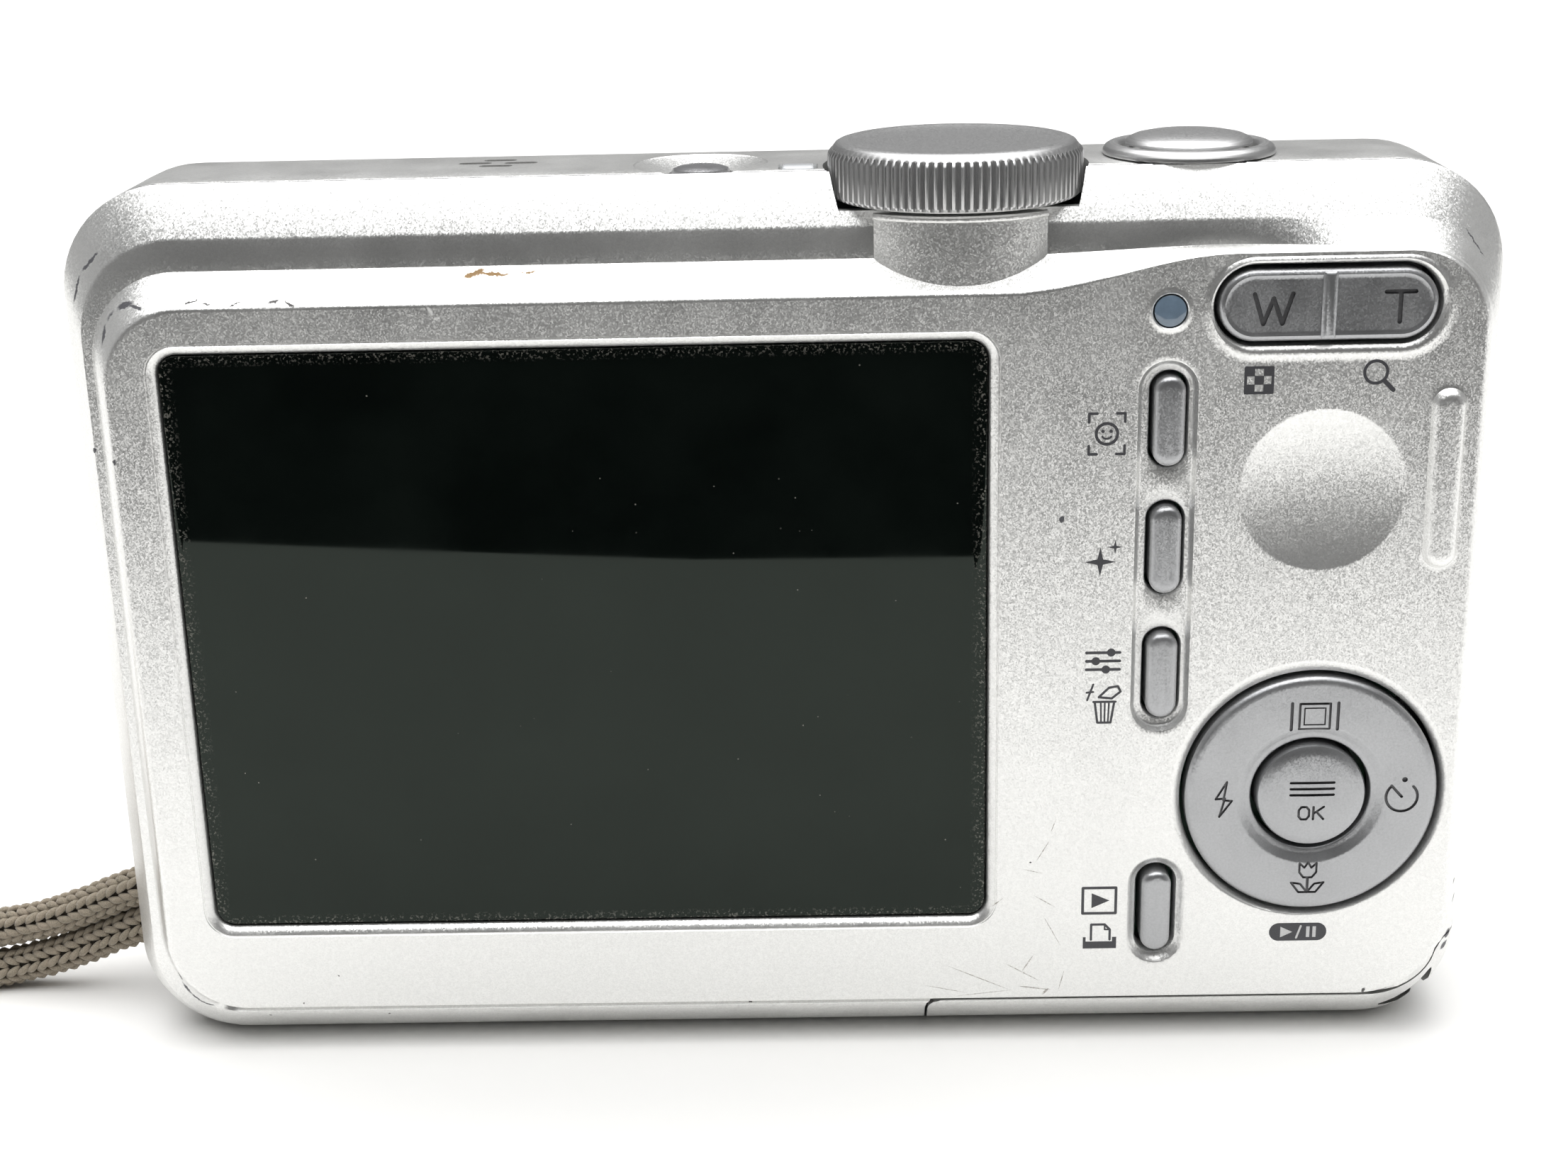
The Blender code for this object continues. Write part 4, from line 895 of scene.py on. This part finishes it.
def door_line(left, top, edge, notch):
    """Outline of the door's share of the case, or of the space for it, seen from behind."""
    points = [(left, -2.0), (51.0, -2.0), (51.0, notch), (edge + 0.75, notch), (edge + 0.3, notch - 0.12),
              (edge, notch - 0.5), (edge, 6.5)]
    for k in range(8):
        a = math.radians(12 * k)
        points.append((edge - 5.2 + 5.2 * math.cos(a) ** 0.9, 6.2 - (6.2 - top) * math.sin(a)))
    return points + [(edge - 5.4, top), (left + 1.0, top), (left + 0.4, top - 0.14), (left + 0.1, top - 0.45),
                     (left, top - 1.0)]


def door_space():
    outline = door_line(9.5, DOOR_TOP + 0.2, 46.15, 7.5)
    return stack("door_space", [(outline, -3), (outline, 17.3)])


def front_rings(inset=0.0, start=5.4):
    curve = [(start, 0.14), (start + 0.06, 0.05), (start + 0.2, 0), (9.0, 0), (13.0, 0), (15.0, 0.02),
             (16.2, 0.17), (17.3, 0.5), (18.4, 1.08), (19.4, 1.85), (20.4, 2.85), (21.2, 3.95), (21.8, 5.1),
             (22.2, 6.1), (22.42, 7.0), (22.5, 8.0)]
    rings = []
    for depth, edge in curve:
        edge += inset
        depth -= inset * 0.9 if depth > 17 else 0
        rings.append(inset_ring(edge, max(7.0 - 0.6 * edge, 2.0), depth))
    return rings


def make_front_cover():
    cover = lofted("front_shell", front_rings(), LOOKS["silver"])
    inside = front_rings(1.4)
    inside[0] = [(x, 4.0, z) for x, _, z in inside[0]]
    hollow = lofted("front_hollow", inside)
    lens_bore = fillet([(0, 17), (16.0, 17), (16.0, 22.2), (16.25, 22.5), (17.5, 23.5), (0, 23.5)], 0.05)
    power_dish = fillet([(0, 62.2), (2.5, 62.2), (4.3, 62.75), (4.75, 62.92), (5.1, 64), (0, 64)], 0.5)
    cuts = [hollow, door_space(), dial_pocket(),
            lathe("lens_bore", lens_bore, (LENS_X, 0, LENS_Z), "Y"),
            block("flash_cut", (4.2, 19, 47.2), (15.8, 24, 54.8), 0.5),
            pit("focus_lamp_cut", 2.1, 18, 24, FOCUS_LAMP, "Y"),
            pit("microphone_cut", 0.5, 18, 24, (-36.5, 0, 50), "Y", 32),
            pit("shutter_cut", 3.4, 58, 66, (*SHUTTER, 0)),
            pit("power_cut", 2.3, 58, 66, (*POWER, 0)),
            lathe("power_dish", power_dish, (*POWER, 0), "Z"),
            block("power_lamp_cut", (0.05, 5.7, 58), (2.75, 8.1, 66), 0.3),
            pit("tripod_cut", 4.7, -1, 3, (-3.0, 10.5, 0)),
            block("terminal_cut", (-50, 7.2, 28.7), (-46.5, 15.0, 43.3), 0.5),
            block("eyelet_cut", (-50, 8.9, 3.6), (-44.2, 12.8, 11.6), 1.2)]
    for i, (x, depth) in enumerate([(-19.5, 12.9), (-21.1, 11.6), (-17.9, 11.5), (-19.5, 10.2)]):
        cuts.append(block(f"speaker_cut_{i}", (x - 1.15, depth - 0.4, 60), (x + 1.15, depth + 0.4, 66), 0.36))
    for *centre, axis in ((-40.0, 10.2, 0, "Z"), (6.2, 10.2, 0, "Z"), (-48.5, 10.2, 51.5, "X"),
                          (48.5, 10.2, 31.0, "X")):
        cuts.append(pit("screw_cut", 1.7, -3, 3, centre, axis, 96))
    carve(cover, cuts)
    settle(cover, "body", "silver_paint", "front_cover")


def make_trim():
    levels = [(0.12, 4.6), (0.0, 4.7), (0.0, 5.0), (0.12, 5.1)]
    rings = [inset_ring(edge, 7.0, depth) for edge, depth in levels]
    rings += [inset_ring(1.2, 6.0, depth) for depth in (5.1, 4.6)]
    rows = ring_rows(len(rings[0]), len(rings))
    verts = [p for ring in rings for p in ring]
    trim = build("seam_trim_ring", verts, walls(rows + rows[:1]), LOOKS["chrome"])
    gap = block("dial_gap", (DIAL[0] - 8.7, 4, 60.5), (DIAL[0] + 8.7, 6, 66))
    carve(trim, [gap, door_space()])
    settle(trim, "body", "chrome_trim", "seam_trim")


def make_door():
    back = [case_ring(*band) for band in BACK_BANDS]
    whole = lofted("door_lid", back + front_rings(start=4.4)[2:], LOOKS["silver"])
    outline = door_line(9.7, DOOR_TOP, 46.35, 7.3)
    share = stack("door_share", [(outline, -3), (outline, 17.0)])
    hollow = block("door_hollow", (5, 1.6, 1.5), (46.6, 15.4, 30), 0.4)
    knuckle = block("knuckle_space", (44.0, 7.7, 4.6), (47.9, 12.9, 8.2))
    barrel = pit("barrel_space", 1.2, 7.7, 12.9, (HINGE[0], 0, HINGE[1]), "Y", 96)
    carve(whole, [share], "INTERSECT")
    carve(whole, [hollow, knuckle, barrel])
    settle(whole, "battery_door", "silver_paint", "battery_door")


# ------------------------------------------------------------------ strokes, letters and icons

def stroke(points, width, closed=False):
    """Polygons for a line of the given width, with round joints."""
    polygons = []
    pairs = list(zip(points, points[1:])) + ([(points[-1], points[0])] if closed else [])
    for (ax, az), (bx, bz) in pairs:
        dx, dz = bx - ax, bz - az
        size = math.hypot(dx, dz)
        nx, nz = -dz / size * width / 2, dx / size * width / 2
        polygons.append([(ax + nx, az + nz), (ax - nx, az - nz), (bx - nx, bz - nz), (bx + nx, bz + nz)])
    for x, z in points:
        polygons.append(circle(x, z, width / 2, 10))
    return polygons


LETTERS = {
    "W": [[(0, 1), (0.25, 0), (0.5, 0.85), (0.75, 0), (1, 1)]],
    "T": [[(0, 1), (1, 1)], [(0.5, 1), (0.5, 0)]],
    "O": [[(0.25, 0), (0, 0.25), (0, 0.75), (0.25, 1), (0.75, 1), (1, 0.75), (1, 0.25), (0.75, 0),
           (0.25, 0)]],
    "K": [[(0, 0), (0, 1)], [(1, 1), (0, 0.45)], [(0.3, 0.62), (1, 0)]],
}


def letter(key, x, z, w, h, width):
    out = []
    for line in LETTERS[key]:
        out += stroke([(x + w * u, z + h * v) for u, v in line], width)
    return out


def word(text, cx, cz, w, h, gap, width):
    start = cx - (len(text) * w + (len(text) - 1) * gap) / 2
    out = []
    for i, key in enumerate(text):
        out += letter(key, start + i * (w + gap), cz - h / 2, w, h, width)
    return out


SQUARE = ((-1, -1), (1, -1), (1, 1), (-1, 1))
QUARTERS = ((-1, -1), (1, -1), (-1, 1), (1, 1))


def pen(shapes):
    """Two functions that add to shapes: a stroked line and a filled outline, both about a centre."""

    def line(centre, points, width=0.2, closed=False):
        shapes.extend(stroke([(centre[0] + x, centre[1] + z) for x, z in points], width, closed))

    def fill(centre, points):
        shapes.append([(centre[0] + x, centre[1] + z) for x, z in points])

    return line, fill


def printed_icons():
    shapes = []
    line, fill = pen(shapes)
    grid = (31.76, 49.18)
    line(grid, [(-0.9, -0.86), (0.9, -0.86), (0.9, 0.86), (-0.9, 0.86)], 0.18, True)
    for i, j in (*QUARTERS, (0, 0)):
        fill(grid, [(i * 0.6 + a * 0.31, j * 0.58 + b * 0.3) for a, b in SQUARE])
    magnifier = (39.66, 49.31)
    line(magnifier, arc(-0.2, 0.28, 0.76, 0, 342, 26), 0.2, True)
    line(magnifier, [(0.36, -0.3), (1.0, -0.95)], 0.3)
    face = (21.76, 45.7)
    for i, j in QUARTERS:
        line(face, [(i * 1.2, j * 0.82), (i * 1.2, j * 1.4), (i * 0.66, j * 1.4)], 0.18)
    line(face, arc(0, 0, 0.72, 0, 345, 23), 0.2, True)
    for i in (-1, 1):
        fill(face, circle(i * 0.27, 0.18, 0.12, 12))
    line(face, arc(0, 0.02, 0.36, 215, 325, 8), 0.13)
    for star, size in (((21.5, 36.7), 1.05), ((22.5, 37.75), 0.5)):
        tips = [(size * (0.26 if k % 2 else 1), math.pi * k / 4) for k in range(8)]
        fill(star, [(r * math.sin(a), r * math.cos(a)) for r, a in tips])
    sliders = (21.85, 29.5)
    for z, knob in ((0.62, 0.55), (0.0, -0.5), (-0.62, 0.2)):
        line(sliders, [(-1.15, z), (1.15, z)], 0.2)
        fill(sliders, circle(knob, z, 0.3, 14))
    bin_ = (21.96, 26.28)
    line(bin_, [(-0.62, 0.15), (-0.42, -1.35), (0.5, -1.35), (0.72, 0.15)], 0.16)
    line(bin_, [(-0.72, 0.2), (0.82, 0.2)], 0.16)
    for x in (-0.2, 0.08, 0.36):
        line(bin_, [(x, 0.1), (x * 0.85 + 0.01, -1.25)], 0.12)
    line(bin_, [(-0.35, 0.55), (0.35, 1.25), (0.95, 1.35), (1.15, 0.95), (0.55, 0.45)], 0.16, True)
    line(bin_, [(-1.15, 0.35), (-0.75, 1.5)], 0.14)
    line(bin_, [(-1.2, 0.9), (-0.75, 0.95)], 0.14)
    play = (21.97, 11.22)
    line(play, [(-1.18, -1.0), (1.18, -1.0), (1.18, 1.0), (-1.18, 1.0)], 0.2, True)
    fill(play, [(-0.55, -0.58), (0.72, 0.0), (-0.55, 0.58)])
    tray = (22.05, 8.42)
    fill(tray, [(-1.2, -1.0), (1.2, -1.0), (1.2, -0.1), (0.9, -0.1), (0.9, -0.45), (-1.0, -0.45),
                (-1.0, -0.1), (-1.2, -0.1)])
    line(tray, [(-0.62, -0.3), (-0.62, 0.9), (0.35, 0.9), (0.72, 0.5), (0.72, -0.3)], 0.17)
    line(tray, [(0.35, 0.9), (0.35, 0.5), (0.72, 0.5)], 0.12)
    shapes.append(slot_outline(36.25, 8.52, 4.1, 1.4, 12))
    ink = prism("printed_icons", shapes, -0.014, 0.02, LOOKS["ink"])
    settle(ink, "body", "black_plastic")
    glyphs = [[(35.0, 8.1), (35.85, 8.52), (35.0, 8.94)]]
    glyphs += stroke([(36.15, 8.05), (36.45, 8.98)], 0.14)
    glyphs += [[(x, 8.1), (x + 0.24, 8.1), (x + 0.24, 8.94), (x, 8.94)] for x in (36.85, 37.3)]
    pale = prism("pale_glyphs", glyphs, -0.024, -0.012, LOOKS["pale_ink"])
    settle(pale, "body", "satin_silver")


def pad_icons():
    shapes = []
    line = pen(shapes)[0]
    frames = (36.62, 25.2)
    line(frames, [(-1.05, -0.95), (1.05, -0.95), (1.05, 0.95), (-1.05, 0.95)], 0.17, True)
    line(frames, [(-0.72, -0.62), (0.72, -0.62), (0.72, 0.62), (-0.72, 0.62)], 0.1, True)
    for x in (-1.6, 1.6):
        line(frames, [(x, -1.0), (x, 1.0)], 0.22)
    bolt = [(0.2, 1.35), (-0.55, 0.05), (0.1, 0.1), (-0.25, -1.3), (0.6, -0.1), (0.0, -0.05), (0.2, 1.35)]
    line((30.51, 19.0), bolt, 0.16)
    timer = (43.0, 19.13)
    line(timer, arc(0, -0.1, 1.1, -225, 45, 22))
    line(timer, [(0, -0.1), (-0.75, 0.75)])
    shapes.append(circle(timer[0] + 0.15, timer[1] + 1.2, 0.2, 12))
    flower = (36.7, 12.85)
    line(flower, [(0, -1.1), (0, 0.0)])
    petals = [(-0.6, 1.15), (-0.6, 0.45), (-0.3, 0.05), (0.3, 0.05), (0.6, 0.45), (0.6, 1.15), (0.25, 0.8),
              (0, 1.2), (-0.25, 0.8)]
    line(flower, petals, 0.16, True)
    for side in (-1, 1):
        leaf = [(0, -1.1), (side * 0.6, -1.1), (side * 1.15, -0.35), (side * 0.5, -0.45), (0, -1.1)]
        line(flower, leaf, 0.16)
    return shapes


# ------------------------------------------------------------------ controls

def key_cap(name, cx, cz):
    levels = [(0.0, 2.5), (0.0, 0.05), (0.05, -0.12), (0.16, -0.26), (0.32, -0.34), (0.5, -0.38),
              (0.75, -0.4)]
    cap = stack(name + "_cap", slot_levels(cx, cz, 2.1, 6.2, levels, 12), LOOKS["key"])
    settle(cap, name, "key_grey", name)


def turned(name, profile, centre, axis, look, steps, body, slot, node_name, rounding=0.0):
    """A turned piece that stands for one CAD node; its profile's corners may be rounded."""
    if rounding:
        profile = fillet(profile, rounding, closed=True)
    settle(lathe(name, profile, centre, axis, LOOKS[look], steps), body, slot, node_name)


def make_rocker():
    levels = [(0.0, 2.6), (0.0, 0.1), (0.06, -0.08), (0.2, -0.2), (0.38, -0.26), (0.46, -0.24), (0.56, -0.2),
              (0.7, -0.2)]
    rocker = stack("rocker_key", slot_levels(36.1, 54.2, 14.4, 4.8, levels, 16), LOOKS["key"])
    marks = letter("W", 31.2, 53.0, 2.5, 2.0, 0.3) + letter("T", 39.8, 53.0, 1.9, 2.0, 0.3)
    # the cut faces of the W and T take the painted groove shade
    carve(rocker, [prism("rocker_marks", marks, -1, -0.04, LOOKS["groove_painted_shade"])])
    levels = [(rect(35.62 + i, 36.58 - i, 51.95 + i, 56.45 - i, 0.12, 3), depth)
              for i, depth in ((0, 0.2), (0, -0.3), (0.1, -0.42), (0.25, -0.48))]
    ridge = stack("rocker_ridge", levels, LOOKS["key"])
    settle(rocker, "zoom_rocker", "key_grey", "zoom_rocker")
    settle(ridge, "zoom_rocker", "key_grey")


def make_pad():
    cx, cz = PAD
    pad = [(4.2, 1.5), (8.85, 1.5), (8.85, 0.12), (8.62, -0.12), (8.3, -0.2), (5.2, -0.16), (4.62, 0.12),
           (4.2, 0.2)]
    pad = lathe("nav_pad_ring", fillet(pad, 0.12, closed=True), (cx, 0, cz), "Y", LOOKS["key"], 144)
    # the cut faces of the pad icons take the painted groove shade
    carve(pad, [prism("pad_marks", pad_icons(), -1, 0.0, LOOKS["groove_painted_shade"])])
    settle(pad, "nav_pad", "key_grey", "nav_pad")
    cap = [(0, 2.6), (3.82, 2.6), (3.82, 0.05), (3.72, -0.14), (3.45, -0.28), (2.95, -0.36), (1.8, -0.44),
           (0, -0.5)]
    cap = lathe("ok_cap", cap, (cx, 0, cz), "Y", LOOKS["key"], 120)
    marks = word("OK", cx, cz - 1.25, 0.72, 0.95, 0.3, 0.17)
    for k in (-1, 0, 1):
        marks += stroke([(cx - 1.5, cz + 0.6 + 0.46 * k), (cx + 1.5, cz + 0.6 + 0.46 * k)], 0.2)
    # the cut faces of the OK marks take the painted groove shade
    carve(cap, [prism("ok_marks", marks, -1, -0.28, LOOKS["groove_painted_shade"])])
    settle(cap, "ok_button", "key_grey", "ok_button")


def make_back_controls():
    for name, z in KEYS.items():
        key_cap(name, KEY_X, z)
    key_cap("playback_button", *PLAY_KEY)
    make_rocker()
    make_pad()
    lens = [(0, 1.2), (1.05, 1.2), (1.05, 0.0), (0.95, -0.06), (0.6, -0.12), (0, -0.15)]
    turned("status_lens", lens, (LAMP[0], 0, LAMP[1]), "Y", "lamp", 48, "body", "lamp_lens", "status_led")


def make_dial():
    teeth, per = 92, 6
    levels = [(60.8, 8.0, 0.0), (60.92, 8.3, 0.0), (61.1, 8.42, 0.7), (61.25, 8.45, 1.0), (63.7, 8.45, 1.0),
              (63.9, 8.4, 0.75), (64.12, 8.3, 0.1), (64.2, 8.25, 0.0), (64.42, 8.08, 0.0), (64.52, 7.9, 0.0),
              (64.6, 7.6, 0.0), (64.6, 7.2, 0.0), (64.55, 7.05, 0.0), (64.54, 4.0, 0.0)]
    wave = (0.16, 0.10, -0.14, -0.2, -0.14, 0.10)
    count = teeth * per
    verts = []
    for z, r, depth in levels:
        for i in range(count):
            a = 2 * math.pi * i / count
            radius = r + wave[i % per] * depth
            verts.append((DIAL[0] + radius * math.cos(a), DIAL[1] + radius * math.sin(a), z))
    rows = ring_rows(count, len(levels))
    faces = walls(rows)
    top = len(verts)
    verts += [(*DIAL, 64.54), (*DIAL, 60.8)]
    for i in range(count):
        j = (i + 1) % count
        faces += [(rows[-1][i], rows[-1][j], top), (j, i, top + 1)]
    settle(build("dial_knob", verts, faces, LOOKS["dial"], 24), "mode_dial", "dial_metal", "mode_dial")


def make_top_controls():
    centre = (*SHUTTER, 0)
    collar = [(4.65, 63.0), (5.88, 63.0), (5.86, 63.25), (5.7, 63.5), (5.4, 63.68), (5.05, 63.72),
              (4.8, 63.62), (4.65, 63.4)]
    turned("shutter_collar", collar, centre, "Z", "satin", 128, "body", "satin_silver", "shutter_ring", 0.08)
    cap = [(0, 64.5), (1.5, 64.47), (2.8, 64.36), (3.7, 64.18), (4.15, 63.98), (4.32, 63.8), (4.3, 63.62),
           (3.0, 63.58), (3.0, 60.4), (0, 60.4)]
    turned("shutter_cap", cap, centre, "Z", "satin", 128, "shutter_button", "satin_silver", "shutter_button")
    power = [(0, 62.8), (0.9, 62.79), (1.5, 62.72), (1.9, 62.58), (2.02, 62.35), (2.02, 60.6), (0, 60.6)]
    turned("power_cap", power, (*POWER, 0), "Z", "power", 72, "power_button", "satin_silver", "power_button")
    lamp = block("power_lens_cap", (0.32, 5.95, 60.8), (2.48, 7.85, 63.0), 0.22, LOOKS["power_lamp"])
    settle(lamp, "body", "lamp_lens", "power_led")


def make_screen():
    levels = [(0.0, 1.3), (0.0, 0.5), (0.05, 0.42), (0.14, 0.38), (0.3, 0.37)]
    outlines = [(rect(-41.6 + i, 13.8 - i, 10.12 + i, 52.1 - i, 1.2 - i * 0.8, 8), d) for i, d in levels]
    settle(stack("screen_window", outlines, LOOKS["glass"]), "body", "screen_glass", "lcd_window")


def make_lens():
    centre = (LENS_X, 0, LENS_Z)
    bezel = [(16.1, 22.8), (16.1, 24.2), (16.35, 24.52), (16.9, 24.6), (17.7, 24.58), (18.5, 24.3),
             (19.15, 23.7), (19.3, 23.2), (19.3, 22.52)]
    turned("lens_bezel", bezel, centre, "Y", "chrome", 160, "body", "chrome_trim", "lens_ring", 0.15)
    outer = [(12.9, 23.4), (14.9, 23.4), (15.25, 23.25), (15.4, 22.9), (15.4, 22.0), (15.3, 21.9),
             (15.3, 21.7), (15.4, 21.6), (15.4, 11.2), (12.9, 11.2)]
    turned("outer_tube", outer, centre, "Y", "barrel", 144, "lens_outer", "barrel_silver",
           "lens_outer_barrel", 0.08)
    inner = [(11.3, 23.2), (11.6, 23.3), (12.2, 23.2), (12.5, 22.8), (12.5, 11.6), (11.3, 11.6)]
    turned("inner_tube", inner, centre, "Y", "barrel", 144, "lens_inner", "barrel_silver",
           "lens_inner_barrel", 0.08)
    plate = [(11.0, 20.8), (11.0, 21.4), (4.9, 21.4), (4.5, 21.0), (4.5, 20.8)]
    turned("aperture_plate", plate, centre, "Y", "black", 96, "lens_inner", "black_plastic",
           "lens_front_plate")
    cover = [(11.0, 22.5), (11.0, 22.9), (10.8, 23.0), (8.0, 22.95), (5.9, 22.75), (5.4, 22.6), (5.4, 22.5)]
    turned("barrier_cover", cover, centre, "Y", "black", 120, "lens_inner", "black_plastic", "barrier_ring")
    dome = [(0, 20.4), (2.0, 20.32), (4.0, 20.08), (6.0, 19.65), (7.6, 19.1), (9.0, 18.4), (9.0, 17.2),
            (0, 17.2)]
    turned("front_element", dome, centre, "Y", "lens", 96, "lens_inner", "lens_glass", "front_lens")


def make_flash():
    window = block("flash_cover", (4.5, 21.2, 47.5), (15.5, 22.6, 54.5), 0.4, LOOKS["flash"])
    settle(window, "body", "flash_lens", "flash_window")
    lamp = [(0, 22.0), (0.9, 21.95), (1.5, 21.8), (1.8, 21.5), (1.8, 19.6), (0, 19.6)]
    turned("focus_lens", lamp, FOCUS_LAMP, "Y", "amber", 48, "body", "focus_lamp_lens", "focus_lamp")


def make_terminal_cover():
    cover = block("terminal_flap", (-HALF_WIDTH, 7.5, 29.0), (-47.3, 14.7, 43.0), 0.3, LOOKS["silver_plain"])
    settle(cover, "terminal_cover", "silver_paint", "terminal_cover")


bpy.context.scene.view_settings.view_transform = "Standard"
make_camera()
LOOKS = make_looks()
make_strap()
make_stage()
make_world()
dress_carried()
make_back_cover()
make_dial_boss()
make_front_cover()
make_trim()
make_door()
printed_icons()
make_back_controls()
make_dial()
make_top_controls()
make_screen()
make_lens()
make_flash()
make_terminal_cover()
